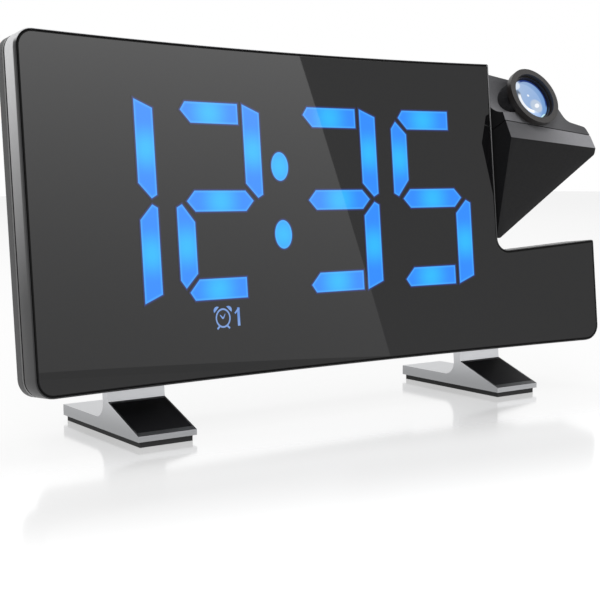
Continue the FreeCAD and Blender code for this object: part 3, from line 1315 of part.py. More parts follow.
def make_lens():
    ring_foot = s.ring_top - s.ring_high
    barrel_top = ring_foot - s.turn_gap * 2
    keep(cut("lens_barrel", along_lens("barrel_solid", s.barrel_radius, s.barrel_foot, barrel_top),
             along_lens("barrel_hollow", s.barrel_bore, s.barrel_foot + s.barrel_floor, past),
             along_lens("barrel_light_hole", s.light_hole, 0, past)), HEAD)
    skirt_inner = s.barrel_radius + s.turn_gap
    solid = fuse("ring_solid", along_lens("ring_outside", s.ring_radius, ring_foot, s.ring_top),
                 along_lens("ring_skirt", skirt_inner + s.skirt_wall, ring_foot - s.skirt_long,
                            s.ring_top))
    keep(cut("focus_ring", solid,
             along_lens("ring_bore", s.barrel_bore, ring_foot - 1, s.ring_top + 1),
             along_lens("ring_seat", skirt_inner, ring_foot - s.skirt_long - 1, ring_foot)), HEAD)
    cell_outer = s.barrel_bore - s.turn_gap
    cell_front = s.ring_top - s.cell_drop
    cell_foot = cell_front - s.cell_long
    seat = cell_front - s.lens_thick
    cell = cut("cell_solid", along_lens("cell_outside", cell_outer, cell_foot, cell_front),
               along_lens("cell_bore", cell_outer - s.cell_wall * 2, cell_foot - 1, cell_front + 1),
               along_lens("cell_seat", cell_outer - s.cell_wall, seat, cell_front + 1))
    keep(group("lens_cell", [cell]), HEAD)
    lens_radius = cell_outer - s.cell_wall
    ball = doc.addObject("Part::Sphere", "lens_ball")
    ball.setExpression("Radius", s.lens_crown.words)
    for axis, value in zip("xyz", (s.lens_x, s.lens_far, cell_front + s.cell_drop / 3 - s.lens_crown)):
        ball.setExpression(f"Placement.Base.{axis}", value.words)
    keep(common("objective_lens", along_lens("lens_disc", lens_radius, seat, s.ring_top), ball), HEAD)


def make_projector():
    """Image slide, condenser lens and lamp behind the objective."""
    def plate(name, side, top, thick):
        half = side / 2
        return block(name, (s.lens_x - half, s.lens_far - half, top - thick),
                     (s.lens_x + half, s.lens_far + half, top))

    slide_foot = s.barrel_foot - s.slide_thick
    keep(group("image_slide", [plate("slide_plate", s.slide_side, s.barrel_foot, s.slide_thick)]),
         HEAD)
    keep(tube("light_duct", (s.lens_x, s.lens_far, -s.lamp_level),
              s.condenser_radius + s.duct_wall, s.condenser_radius, slide_foot + s.lamp_level,
              UPRIGHT), HEAD)
    level = -s.condenser_level
    keep(group("condenser_lens", [along_lens("condenser_disc", s.condenser_radius,
                                             level - s.condenser_thick, level)]), HEAD)
    board = plate("lamp_plate", s.lamp_side, -s.lamp_level, s.lamp_thick)
    keep(group("lamp_board", [board]), HEAD)
    lamp = along_lens("lamp_dome", s.lamp_radius, -s.lamp_level, -s.lamp_level + s.lamp_radius)
    keep(group("projection_lamp", [lamp]), HEAD)


windows = make_face()
make_frame()
make_rear_cover()
make_light_box(windows)
make_boards()
make_switches()
make_buttons()
make_speaker()
make_battery()
make_ports()
make_housing_screws()
for side, name in ((-1, "left"), (1, "right")):
    make_foot(side, name)
make_pivot()
make_head()
make_lens()
make_projector()
doc.recompute()

# Nothing is written unless every object is sound.
faults = [item.Name for item in doc.Objects if {"Invalid", "Error"} & set(item.State)]
for name, node in nodes.items():
    if node.Shape.isNull() or not node.Shape.isValid() or not node.Shape.Solids:
        faults.append(name)
if faults:
    raise RuntimeError("these did not build: " + ", ".join(faults))
os.makedirs("parts", exist_ok=True)
for name, node in nodes.items():
    node.Shape.exportStep(os.path.join("parts", f"{name}.step"))
print(len(nodes), "sub-parts written")
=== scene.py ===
import math

import bmesh
import bpy
from bpy.props import FloatProperty, FloatVectorProperty, PointerProperty
from mathutils import Matrix, Vector


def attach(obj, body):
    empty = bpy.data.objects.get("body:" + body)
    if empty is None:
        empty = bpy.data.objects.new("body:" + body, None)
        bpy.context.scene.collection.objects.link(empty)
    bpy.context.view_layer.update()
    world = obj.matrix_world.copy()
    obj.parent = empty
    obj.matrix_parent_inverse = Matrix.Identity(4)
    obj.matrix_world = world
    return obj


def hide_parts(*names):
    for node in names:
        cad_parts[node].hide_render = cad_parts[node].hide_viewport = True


bl_info = {
    "name": "Projection Alarm Clock",
    "version": (1, 0, 0),
    "blender": (4, 5, 0),
    "location": "3D View > Sidebar > Clock",
    "description": "Dresses the clock's frame: curved face, lit digits, lens head, feet and back",
    "category": "Add Mesh",
}

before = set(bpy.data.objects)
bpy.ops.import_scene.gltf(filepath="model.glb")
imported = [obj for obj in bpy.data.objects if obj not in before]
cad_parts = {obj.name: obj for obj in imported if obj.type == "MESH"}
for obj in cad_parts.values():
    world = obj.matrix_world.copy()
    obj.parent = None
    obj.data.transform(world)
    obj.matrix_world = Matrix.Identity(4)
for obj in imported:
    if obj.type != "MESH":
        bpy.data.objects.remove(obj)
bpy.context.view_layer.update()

MM = 0.001
HALF = 93.45
RADIUS = 536.5
AXIS_DEPTH = -math.sqrt(RADIUS ** 2 - HALF ** 2)
NOTCH = 57.35
FACE_TOP = 85.3
ARM_INNER = 29.1
ARM_OUTER = 31.3
CORNER_ROUND = 4.65
TIP_ROUND = 0.6
NOTCH_ROUND = 3.75
PANEL_REVEAL = 0.45
LEAN = math.radians(5.33)
FORWARD = 22.78
LIFT = 14.51
# The housing's own frame leans back; X runs along the face, Y to its back, Z up the face.
HOUSING = Matrix.Translation((0, -FORWARD * MM, LIFT * MM)) @ Matrix.Rotation(-LEAN, 4, "X")
PIVOT = HOUSING @ Vector((58.0 * MM, 11.864 * MM, 63.75 * MM))
# The head's own frame: X along the pivot from the head's left side, Z along the lens.
HEAD_LEAN = math.radians(64)
HEAD = Matrix.Translation(PIVOT) @ Matrix.Rotation(HEAD_LEAN, 4, "X")
LENS = (12.32, 6.51)
LENS_RADIUS = 6.85
LENS_DOME = 0.9
LENS_FRONT = 14.3
LENS_BACK = 12.9


class ClockSizes(bpy.types.PropertyGroup):
    """Sizes of the dressed pieces."""

    edge_slope: FloatProperty(name="Face edge", description="Width of the face's sloping front edge",
                              default=0.4 * MM, unit="LENGTH")
    halo: FloatProperty(name="Halo", description="Width of the glow around a lit bar",
                        default=0.6 * MM, unit="LENGTH")
    seam: FloatProperty(name="Seam", description="Width of the seam around the frame",
                        default=0.3 * MM, unit="LENGTH")
    bevel: FloatProperty(name="Bevel", description="Softened edges of moulded parts",
                         default=0.25 * MM, unit="LENGTH")


def colour(name, words, value):
    return FloatVectorProperty(name=name, description=words, subtype="COLOR", size=3, min=0, max=1,
                               default=value)


class ClockColours(bpy.types.PropertyGroup):
    """Colours of the finishes."""

    lit_middle: colour("Lit middle", "Colour of a lit bar in front of its lamp", (0.004, 0.455, 0.95))
    lit_end: colour("Lit end", "Colour of a lit bar at its ends", (0.004, 0.225, 0.93))
    lit_rim: colour("Lit rim", "Thin pale line around a lit bar", (0.06, 0.44, 1.0))
    halo: colour("Halo", "Glow around a lit bar", (0.012, 0.020, 0.16))
    face: colour("Face", "Gloss black of the face", (0.004, 0.004, 0.0045))
    moulding: colour("Moulding", "Gloss black of the frame", (0.012, 0.012, 0.013))
    cover: colour("Cover", "Satin black of the rear cover", (0.016, 0.016, 0.017))
    head: colour("Head", "Near black of the lens head", (0.010, 0.010, 0.0105))
    # Painted sheen: this grey stands in for light reflected off the head's face around the lens.
    head_sheen: colour("Band", "Grey of the head's face around the lens", (0.30, 0.30, 0.315))
    # Painted sheen: this pale colour stands in for light reflected off the frame's wall.
    rim: colour("Rim", "Pale upper part of the frame's wall", (0.66, 0.66, 0.67))
    silver: colour("Silver", "Brushed silver of the feet", (0.72, 0.73, 0.75))
    film: colour("Film", "Black film on the feet", (0.006, 0.006, 0.007))


class Field:
    """One shader value; sums and products of fields add their Math nodes."""

    def __init__(self, tree, socket):
        self.tree = tree
        self.socket = socket

    def maths(self, operation, *others):
        node = self.tree.nodes.new("ShaderNodeMath")
        node.operation = operation
        for number, value in enumerate((self, *others)):
            if isinstance(value, Field):
                self.tree.links.new(value.socket, node.inputs[number])
            else:
                node.inputs[number].default_value = value
        return Field(self.tree, node.outputs[0])

    def __add__(self, other):
        return self.maths("ADD", other)

    def __radd__(self, other):
        return self.maths("ADD", other)

    def __sub__(self, other):
        return self.maths("SUBTRACT", other)

    def __rsub__(self, other):
        return self.maths("MULTIPLY_ADD", -1.0, other)

    def __mul__(self, other):
        return self.maths("MULTIPLY", other)

    def __rmul__(self, other):
        return self.maths("MULTIPLY", other)

    def __truediv__(self, other):
        return self.maths("DIVIDE", other)

    def __pow__(self, other):
        return self.maths("POWER", other)

    def above(self, low, high):
        """Smooth step from 0 at low to 1 at high."""
        share = self.maths("SUBTRACT", low).maths("DIVIDE", high - low)
        share = share.maths("MAXIMUM", 0.0).maths("MINIMUM", 1.0)
        return share * share * (3.0 - share * 2.0)


class Finish:
    """A procedural material for one of the clock's surfaces."""

    made = {}

    def __init__(self, name):
        self.material = bpy.data.materials.new(name)
        self.material.use_nodes = True
        self.tree = self.material.node_tree
        self.shader = next(n for n in self.tree.nodes if n.type == "BSDF_PRINCIPLED")
        self.output = next(n for n in self.tree.nodes if n.type == "OUTPUT_MATERIAL")
        Finish.made[name] = self.material

    def node(self, kind, settings=None, output=0, **sockets):
        """Any node: its settings first, then the values or links of its sockets."""
        node = self.tree.nodes.new(f"ShaderNode{kind}")
        for name, value in (settings or {}).items():
            setattr(node, name, value)
        for name, value in sockets.items():
            key = int(name[1:]) if name[0] == "s" and name[1:].isdigit() else name.replace("_", " ")
            if isinstance(value, Field):
                self.tree.links.new(value.socket, node.inputs[key])
            else:
                node.inputs[key].default_value = value
        return Field(self.tree, node.outputs[output])

    def place(self, scale=1.0):
        """Place on the object, in metres times scale."""
        where = self.node("TexCoord", output=3)
        return self.node("Mapping", Vector=where, Scale=tuple(scale if isinstance(scale, tuple)
                                                              else (scale,) * 3))

    def parts(self, output=3):
        """X, Y and Z of the place on the object, or of its surface's direction."""
        split = self.tree.nodes.new("ShaderNodeSeparateXYZ")
        self.tree.links.new(self.node("TexCoord", output=output).socket, split.inputs[0])
        return [Field(self.tree, socket) for socket in split.outputs]

    def noise(self, scale, detail=2.0, stretch=(1, 1, 1)):
        return self.node("TexNoise", Vector=self.place(stretch), Scale=scale, Detail=detail)

    def blend(self, share, first, second):
        """Colour between two colours or colour fields."""
        mix = self.tree.nodes.new("ShaderNodeMix")
        mix.data_type = "RGBA"
        for socket, value in ((mix.inputs[0], share), (mix.inputs[6], first), (mix.inputs[7], second)):
            if isinstance(value, Field):
                self.tree.links.new(value.socket, socket)
            elif isinstance(value, (int, float)):
                socket.default_value = value
            else:
                socket.default_value = (*value[:3], 1)
        return Field(self.tree, mix.outputs[2])

    def bump(self, height, distance, strength=1.0):
        self.set(Normal=self.node("Bump", Height=height, Distance=distance, Strength=strength))

    def set(self, **sockets):
        for name, value in sockets.items():
            socket = self.shader.inputs[name.replace("_", " ")]
            if isinstance(value, Field):
                self.tree.links.new(value.socket, socket)
            elif name.endswith(("Color", "Tint")):
                socket.default_value = (*value[:3], 1)
            else:
                socket.default_value = value
        return self


def finish(name):
    return Finish.made[name]


def colours():
    return bpy.context.scene.clock_colours


def sizes():
    return bpy.context.scene.clock_sizes


def tinted(first, share):
    return tuple(min(1.0, channel * share) for channel in first)


def make_gloss_face():
    f = Finish("gloss_face")
    cloud = f.noise(9.0, 3.0)
    base = tuple(colours().face)
    f.set(Base_Color=f.blend(cloud, tinted(base, 0.8), tinted(base, 1.3)),
          Roughness=f.noise(60.0, 4.0) * 0.012, IOR=1.42)


def make_moulding(name, base, rough, grain, depth):
    f = Finish(name)
    speck = f.noise(grain, 3.0)
    f.set(Base_Color=f.blend(speck, tinted(base, 0.75), tinted(base, 1.35)),
          Roughness=f.noise(grain * 0.2, 2.0) * 0.08 + rough)
    f.bump(speck, depth, 0.6)
    return f


def make_lit(name, soft_rim=True):
    """Lit window: bright in front of its lamp, a thin pale rim, a dim halo outside."""
    f = Finish(name)
    inside = f.node("Attribute", {"attribute_name": "inside"}, output=2)
    lamp = f.node("Attribute", {"attribute_name": "lamp"}, output=2)
    c = colours()
    middle = f.blend(lamp.above(0.0, 7.5), tuple(c.lit_middle), tuple(c.lit_end))
    rim = inside.above(0.62, 0.28) if soft_rim else inside.above(0.3, 0.0)
    body = f.blend(rim * 0.45, middle, tuple(c.lit_rim))
    glow = f.blend(inside.above(-0.62, -0.05), (0, 0, 0), tuple(c.halo))
    edge = inside.above(-0.12, 0.1)
    if not soft_rim:
        body = f.blend(lamp.above(0.0, 3.0), (0.20, 0.34, 0.66), (0.10, 0.24, 0.60))
    f.set(Base_Color=f.blend(edge, tuple(c.face), (0.01, 0.03, 0.08)),
          Roughness=f.noise(60.0, 4.0) * 0.012, IOR=1.42,
          Emission_Color=f.blend(edge, glow, body), Emission_Strength=1.0)
    return f


def make_brushed(name, base, direction, rough, low=1.0):
    """Metal brushed along one direction; low darkens what lies near the floor as painted shade, and
    faces turned up keep the bright metal.
    """
    f = Finish(name)
    stretch = tuple(0.03 if along else 1.0 for along in direction)
    lines = f.noise(5200.0, 2.0, stretch)
    patches = f.noise(60.0, 2.0)
    metal = f.blend(lines * 0.6 + patches * 0.4, tinted(base, 0.86), tinted(base, 1.06))
    if low < 1.0:
        # Painted shade: the metal is darker near the floor, and faces turned up stay bright.
        floor_shade = f.blend(lines, tinted(base, low * 0.9), tinted(base, low * 1.1))
        top = f.parts(1)[2].above(0.75, 0.95)
        metal = f.blend(f.parts()[2].above(0.002, 0.013).maths("MAXIMUM", top * 0.8), floor_shade, metal)
    f.set(Base_Color=metal, Metallic=1.0, Roughness=lines * 0.16 + rough)
    f.bump(lines, 0.00001, 0.35)
    return f


def make_finishes():
    c = colours()
    make_gloss_face()
    make_moulding("gloss_moulding", tuple(c.moulding), 0.14, 900.0, 0.000004)
    make_moulding("satin_cover", tuple(c.cover), 0.42, 1600.0, 0.00003)
    make_moulding("key_plastic", tinted(c.cover, 1.5), 0.36, 1500.0, 0.00002)
    # The heads' grey on faces turned the way the lens points is painted sheen.
    make_head("shell_plastic", 0.90, 0.30, 1.0)
    make_head("cap_plastic", 0.45, 0.62, 0.24)
    make_rim()
    make_moulding("black_edge", (0.004, 0.004, 0.004), 0.5, 900.0, 0.000004).set(
        Specular_IOR_Level=0.12)
    make_moulding("barrel_plastic", (0.010, 0.010, 0.011), 0.22, 1200.0, 0.00001)
    make_moulding("ring_plastic", (0.013, 0.011, 0.0105), 0.30, 1200.0, 0.00001)
    make_moulding("black_film", tuple(c.film), 0.30, 1800.0, 0.000015)
    make_moulding("rubber", (0.012, 0.012, 0.012), 0.7, 1500.0, 0.00003)
    make_moulding("white_box", (0.80, 0.80, 0.79), 0.5, 900.0, 0.00001)
    make_moulding("bearing_plastic", (0.62, 0.61, 0.57), 0.4, 900.0, 0.00001)
    make_moulding("dark_chip", (0.012, 0.012, 0.013), 0.45, 900.0, 0.00001)
    make_moulding("cone_coating", (0.03, 0.03, 0.032), 0.6, 2500.0, 0.00005)
    # 0.55 is the painted shade of the feet near the floor.
    make_brushed("brushed_silver", tinted(c.silver, 0.86), (1, 0, 0), 0.24, 0.55)
    make_brushed("steel", (0.56, 0.56, 0.57), (0, 0, 1), 0.22)
    make_brushed("plated", (0.78, 0.62, 0.32), (0, 1, 0), 0.2)
    make_lit("lit_window")
    make_lit("lit_sign", soft_rim=False)
    board = Finish("circuit_board")
    tracks = board.node("TexVoronoi", {"feature": "DISTANCE_TO_EDGE"}, Vector=board.place(1.0),
                        Scale=260.0)
    board.set(Base_Color=board.blend(tracks.above(0.02, 0.07), (0.02, 0.16, 0.07), (0.008, 0.07, 0.03)),
              Roughness=board.noise(300.0) * 0.15 + 0.25)
    lamp = Finish("clear_lamp")
    lamp.set(Base_Color=lamp.blend(lamp.noise(800.0), (0.75, 0.72, 0.55), (0.9, 0.88, 0.75)),
             Roughness=0.15)
    make_lens()


def make_rim():
    """Frame wall: painted sheen, pale where it faces the sky, and painted shade, dark towards the
    floor.
    """
    f = Finish("rim_wall")
    _, y, height = f.parts()
    aside, toward, up = f.parts(1)
    left = (aside * -1.0).above(0.35, 0.6)
    behind = ((y + FORWARD * MM) * math.cos(LEAN) - (height - LIFT * MM) * math.sin(LEAN))
    shown = up.above(0.2, 0.5).maths("MAXIMUM", left * behind.above(0.0011, 0.0016))
    # Painted sheen and shade: pale metal high on the wall, on faces turned up and on the left wall;
    # near black low down.
    grey = (height.above(0.034, 0.062) * 0.30 + height.above(0.055, 0.105) * 0.70) * shown
    pale = f.blend(f.noise(900.0, 2.0), tinted(colours().rim, 0.94), tinted(colours().rim, 1.05))
    f.set(Base_Color=f.blend(grey, (0.020, 0.020, 0.021), pale), Metallic=grey.above(0.0, 0.3) * 0.9,
          Roughness=0.34, Specular_IOR_Level=0.3)


def make_head(name, low, left, right):
    """Lens head: near black, with a painted sheen of satin grey where it faces the way the lens does.

    low is how squarely it has to face that way; left and right are the grey sheen's shares at the
    head's left and right ends.
    """
    f = Finish(name)
    _, toward, up = f.parts(1)
    x, _, _ = f.parts()
    # Painted sheen: faces turned the way the lens points get grey, lighter or darker along the head, in
    # place of reflected light.
    sheen_share = (up * math.cos(HEAD_LEAN) - toward * math.sin(HEAD_LEAN)).above(low, low + 0.07)
    along = x.above(0.054, 0.094)
    grain = f.noise(1500.0, 3.0)
    dark = f.blend(grain, tinted(colours().head, 0.7), tinted(colours().head, 1.5))
    head_sheen = f.blend(along, tinted(colours().head_sheen, left), tinted(colours().head_sheen, right))
    head_sheen = f.blend(grain * 0.25, head_sheen, (0.12, 0.12, 0.125))
    f.set(Base_Color=f.blend(sheen_share, dark, head_sheen), Roughness=sheen_share * 0.12 + 0.30,
          Specular_IOR_Level=0.1)
    f.bump(grain, 0.000012, 0.5)


def make_lens():
    """Coated lens: its glow is painted reflection, pale blue with painted highlights of the lamps and
    navy along one side.
    """
    f = Finish("coated_lens")
    where = f.node("Attribute", {"attribute_name": "lens_place"}, output=1)
    split = f.tree.nodes.new("ShaderNodeSeparateXYZ")
    f.tree.links.new(where.socket, split.inputs[0])
    x, e = Field(f.tree, split.outputs[0]), Field(f.tree, split.outputs[1])
    radius = (x * x + e * e).maths("SQRT")

    def reflected_spot(at_x, at_e, wide, tall, turn=0.0):
        c, t = math.cos(math.radians(turn)), math.sin(math.radians(turn))
        dx, de = x - at_x, e - at_e
        first, second = (dx * c + de * t) / wide, (de * c - dx * t) / tall
        return (first * first + second * second).above(1.25, 0.55)

    def sector(angle, half):
        c, t = math.cos(math.radians(angle)), math.sin(math.radians(angle))
        share = (x * c + e * t) / (radius + 0.01)
        return share.above(math.cos(math.radians(half + 8)), math.cos(math.radians(half - 8)))

    # The blue follows the coating's colour; the glow, the white highlights and the dark patches are
    # painted reflection, with painted shade at the lens's edge.
    cloud = f.noise(260.0, 2.0) * 0.25
    slope = (x * 0.08 - e * 0.03 + 0.45).maths("MAXIMUM", 0.0).maths("MINIMUM", 1.0)
    coat_and_glints = f.blend(slope * 0.85 + cloud, (0.40, 0.53, 0.74), (0.17, 0.36, 0.72))
    coat_and_glints = f.blend(reflected_spot(1.0, -2.6, 2.6, 2.2), coat_and_glints, (0.50, 0.60, 0.74))
    coat_and_glints = f.blend(reflected_spot(-5.6, -0.2, 1.5, 3.4, -20), coat_and_glints, (0.10, 0.14, 0.20))
    coat_and_glints = f.blend(reflected_spot(-4.3, 4.6, 1.9, 1.5, 40), coat_and_glints, (0.74, 0.83, 0.95))
    # Painted highlight: a pale crescent ring.
    ring = (radius - 4.5).maths("ABSOLUTE").above(0.62, 0.30) * sector(214, 50)
    coat_and_glints = f.blend(ring, coat_and_glints, (0.93, 0.96, 1.0))
    coat_and_glints = f.blend(reflected_spot(1.25, -2.5, 1.15, 0.7, 20), coat_and_glints, (0.95, 0.97, 1.0))
    coat_and_glints = f.blend(reflected_spot(-1.2, 0.8, 0.45, 0.4), coat_and_glints, (0.90, 0.95, 1.0))
    coat_and_glints = f.blend(reflected_spot(3.2, -5.75, 1.7, 0.5, 28), coat_and_glints, (0.62, 0.93, 1.0))
    # Painted reflection: a dark navy crescent along the upper right.
    navy = radius.above(5.7, 6.15) * sector(45, 66)
    coat_and_glints = f.blend(navy, coat_and_glints, (0.008, 0.03, 0.20))
    shade = radius.above(6.45, 6.75)
    f.set(Base_Color=(0.004, 0.008, 0.02), Roughness=0.03, IOR=1.5, Specular_IOR_Level=0.3,
          Coat_Weight=0.3, Coat_Roughness=0.02,
          Emission_Color=f.blend(shade, coat_and_glints, (0.004, 0.006, 0.02)), Emission_Strength=0.92)
    glass = Finish("inner_glass")
    glass.set(Base_Color=glass.blend(glass.noise(200.0), (0.5, 0.7, 0.9), (0.7, 0.85, 1.0)),
              Roughness=0.04)


def add_piece(name, mesh, material, body, place=HOUSING, nodes=()):
    """Puts a mesh made in millimetres in its place, and lets it ride on a body."""
    data = bpy.data.meshes.new(name)
    mesh.transform(place @ Matrix.Scale(MM, 4))
    mesh.to_mesh(data)
    mesh.free()
    piece = bpy.data.objects.new(name, data)
    bpy.context.collection.objects.link(piece)
    for one in material if isinstance(material, (list, tuple)) else [material]:
        data.materials.append(finish(one))
    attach(piece, body)
    if nodes:
        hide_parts(*nodes)
    return piece


def soften(piece, width):
    edges = piece.modifiers.new("Softened edges", "BEVEL")
    edges.width = width
    edges.segments = 3
    edges.limit_method = "ANGLE"
    edges.angle_limit = math.radians(30)
    edges.harden_normals = True
    edges.miter_outer = "MITER_ARC"


def crease(mesh, degrees):
    """Smooth shading, with sharp edges where faces meet at more than an angle."""
    limit = math.radians(degrees)
    for face in mesh.faces:
        face.smooth = True
    for edge in mesh.edges:
        edge.smooth = len(edge.link_faces) == 2 and edge.calc_face_angle(0) < limit
    return mesh


def join_loops(mesh, loops, shades=()):
    """Quads between neighbouring loops of the same count; shades gives each row's material."""
    rows = [[mesh.verts.new(point) for point in loop] for loop in loops]
    for row, (low, high) in enumerate(zip(rows, rows[1:])):
        count = len(low)
        for index in range(count):
            after = (index + 1) % count
            face = mesh.faces.new((low[index], low[after], high[after], high[index]))
            face.material_index = shades[row] if row < len(shades) else 0
    return rows


def rounded_corners(points, steps=7):
    """Outline through corners (x, y, radius), each corner replaced by an arc."""
    outline = []
    count = len(points)
    for index, (x, y, radius) in enumerate(points):
        here = Vector((x, y))
        before = (Vector(points[index - 1][:2]) - here).normalized()
        after = (Vector(points[(index + 1) % count][:2]) - here).normalized()
        half = before.angle(after) / 2
        centre = here + (before + after).normalized() * (radius / math.sin(half))
        start = here + before * (radius / math.tan(half)) - centre
        end = here + after * (radius / math.tan(half)) - centre
        sweep = start.angle_signed(end)
        for step in range(steps + 1):
            turn = Matrix.Rotation(-sweep * step / steps, 2)
            outline.append(tuple(centre + turn @ start))
    return outline


def face_outline(inset):
    """Outline of the face with its walls moved inwards."""
    slope = (ARM_OUTER - ARM_INNER) / (HALF - NOTCH)
    right, wall = HALF - inset, NOTCH - inset
    drop = inset * slope + inset
    outer = max(CORNER_ROUND - inset, 0.3)
    tip = max(TIP_ROUND - inset * 0.5, 0.2)
    return rounded_corners([
        (-right, inset, outer),
        (right, inset, outer),
        (right, ARM_OUTER - drop, tip),
        (wall, ARM_INNER - drop, NOTCH_ROUND + inset),
        (wall, FACE_TOP - inset, tip),
        (-right, FACE_TOP - inset, outer),
    ])


def bend(mesh, step=1.5):
    """Cuts a flat mesh in columns and bends it to the curve of the face."""
    column = -HALF + step
    while column < HALF:
        geometry = mesh.verts[:] + mesh.edges[:] + mesh.faces[:]
        bmesh.ops.bisect_plane(mesh, geom=geometry, plane_co=(column, 0, 0), plane_no=(1, 0, 0),
                               dist=1e-5)
        column += step
    for vertex in mesh.verts:
        x, behind, z = vertex.co
        vertex.co.y = math.sqrt((RADIUS + behind) ** 2 - x * x) + AXIS_DEPTH
    return mesh


def bent_shell(profile, caps, shades=()):
    """Solid of outlines: (inset, depth behind the front surface) for each loop."""
    mesh = bmesh.new()
    loops = [[(x, depth, z) for x, z in face_outline(inset)] for inset, depth in profile]
    if caps:
        rows = join_loops(mesh, loops, shades=shades)
        mesh.faces.new(rows[0][::-1])
        mesh.faces.new(rows[-1])
    else:
        join_loops(mesh, loops + loops[:1], shades=shades)
        bmesh.ops.remove_doubles(mesh, verts=mesh.verts, dist=1e-6)
    bend(mesh)
    bmesh.ops.recalc_face_normals(mesh, faces=mesh.faces)
    return mesh


def dress_node(name, material, bevel=0.0):
    """Finish for a CAD node that keeps its own shape."""
    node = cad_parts[name]
    node.data.materials.clear()
    node.data.materials.append(finish(material))
    if bevel:
        weld = node.modifiers.new("Joined corners", "WELD")
        weld.merge_threshold = 0.00001
        soften(node, bevel)


class CLOCK_OT_face(bpy.types.Operator):
    """Curved gloss face in front of the display"""

    bl_idname = "clock.face"
    bl_label = "Face"

    def execute(self, context):
        slope = sizes().edge_slope / MM
        flat = PANEL_REVEAL + slope
        profile = [(0.5, 2.0), (0.47, 0.35), (0.6, 0.16), (flat, 0.02), (flat + 0.05, 0.0),
                   (flat + 0.09, 0.0)]
        face = crease(bent_shell(profile, True, (1, 1, 1, 1)), 30)
        add_piece("curved_face", face, ("gloss_face", "black_edge"), "housing",
                  nodes=("front_panel", "digit_bars_dark"))
        return {"FINISHED"}


def convex_inset(points, inset):
    """A convex outline with every side moved inwards."""
    count = len(points)
    lines = []
    for index in range(count):
        a, b = Vector(points[index]), Vector(points[(index + 1) % count])
        along = (b - a).normalized()
        inwards = Vector((-along.y, along.x))
        lines.append((a + inwards * inset, along, inwards))
    corners = []
    for index in range(count):
        (p, d, _), (q, e, _) = lines[index - 1], lines[index]
        share = (q - p).cross(e) / d.cross(e)
        corners.append(tuple(p + d * share))
    return corners, lines


def light_patch(mesh, points, lamp, insets, raised=0.03):
    """Bent patch over one lit window, with its distances kept for the finish."""
    area = sum(Vector(points[i - 1]).cross(Vector(points[i])) for i in range(len(points)))
    if area < 0:
        points = points[::-1]
    patch = bmesh.new()
    loops = [[(x, -raised, z) for x, z in convex_inset(points, inset)[0]] for inset in insets]
    rows = join_loops(patch, loops)
    patch.faces.new(rows[-1])
    inside = patch.verts.layers.float.new("inside")
    distance = patch.verts.layers.float.new("lamp")
    low = min(x for x, _ in points) - 1
    high = max(x for x, _ in points) + 1
    column = math.ceil(low)
    while column < high:
        geometry = patch.verts[:] + patch.edges[:] + patch.faces[:]
        bmesh.ops.bisect_plane(patch, geom=geometry, plane_co=(column, 0, 0), plane_no=(1, 0, 0),
                               dist=1e-5)
        column += 1.0
    bottom = min(z for _, z in points) - 1
    top = max(z for _, z in points) + 1
    level = math.ceil(bottom)
    while level < top:
        geometry = patch.verts[:] + patch.edges[:] + patch.faces[:]
        bmesh.ops.bisect_plane(patch, geom=geometry, plane_co=(0, 0, level), plane_no=(0, 0, 1),
                               dist=1e-5)
        level += 1.5
    lines = convex_inset(points, 0)[1]
    for vertex in patch.verts:
        at = Vector((vertex.co.x, vertex.co.z))
        vertex[inside] = min((at - start).dot(inwards) for start, _, inwards in lines)
        vertex[distance] = (at - Vector(lamp)).length
        vertex.co.y = math.sqrt((RADIUS - raised) ** 2 - at.x ** 2) + AXIS_DEPTH
    bmesh.ops.recalc_face_normals(patch, faces=patch.faces)
    if sum(face.normal.y * face.calc_area() for face in patch.faces) > 0:
        bmesh.ops.reverse_faces(patch, faces=patch.faces)
    for face in patch.faces:
        face.smooth = True
    keep = bpy.data.meshes.new("patch")
    patch.to_mesh(keep)
    patch.free()
    mesh.from_mesh(keep)
    bpy.data.meshes.remove(keep)


WIDE, TALL, STROKE, GAP, TIP, CORNER = 27.2, 50.3, 5.3, 1.5, 1.6, 2.1
BASE = 20.35
LEFTS = (-84.1, -51.3, -12.3, 20.5)


def digit_bars():
    """Outlines of a digit's seven bars, from its left foot."""
    middle = TALL / 2
    inner = WIDE - STROKE - GAP
    knee = STROKE + GAP / 4
    bars = {
        "a": [(STROKE / 2, TALL - CORNER), (knee, TALL - STROKE), (inner, TALL - STROKE),
              (inner, TALL), (STROKE / 2 + GAP, TALL)],
        "b": [(WIDE - STROKE, middle + STROKE - GAP / 2), (WIDE - TIP, middle + GAP / 2),
              (WIDE, middle + TIP), (WIDE, TALL - CORNER), (WIDE - STROKE, TALL)],
        "f": [(0, middle + TIP), (TIP, middle + GAP / 2), (STROKE, middle + STROKE),
              (STROKE, TALL - STROKE - GAP), (TIP, TALL - TIP * 2), (0, TALL - STROKE)],
        "g": [(TIP * 2, middle), (knee, middle - STROKE / 2), (WIDE - knee, middle - STROKE / 2),
              (WIDE - TIP * 2, middle), (WIDE - knee, middle + STROKE / 2),
              (knee, middle + STROKE / 2)],
    }
    for above, below in zip("abf", "dce"):
        bars[below] = [(x, TALL - z) for x, z in reversed(bars[above])]
    return bars


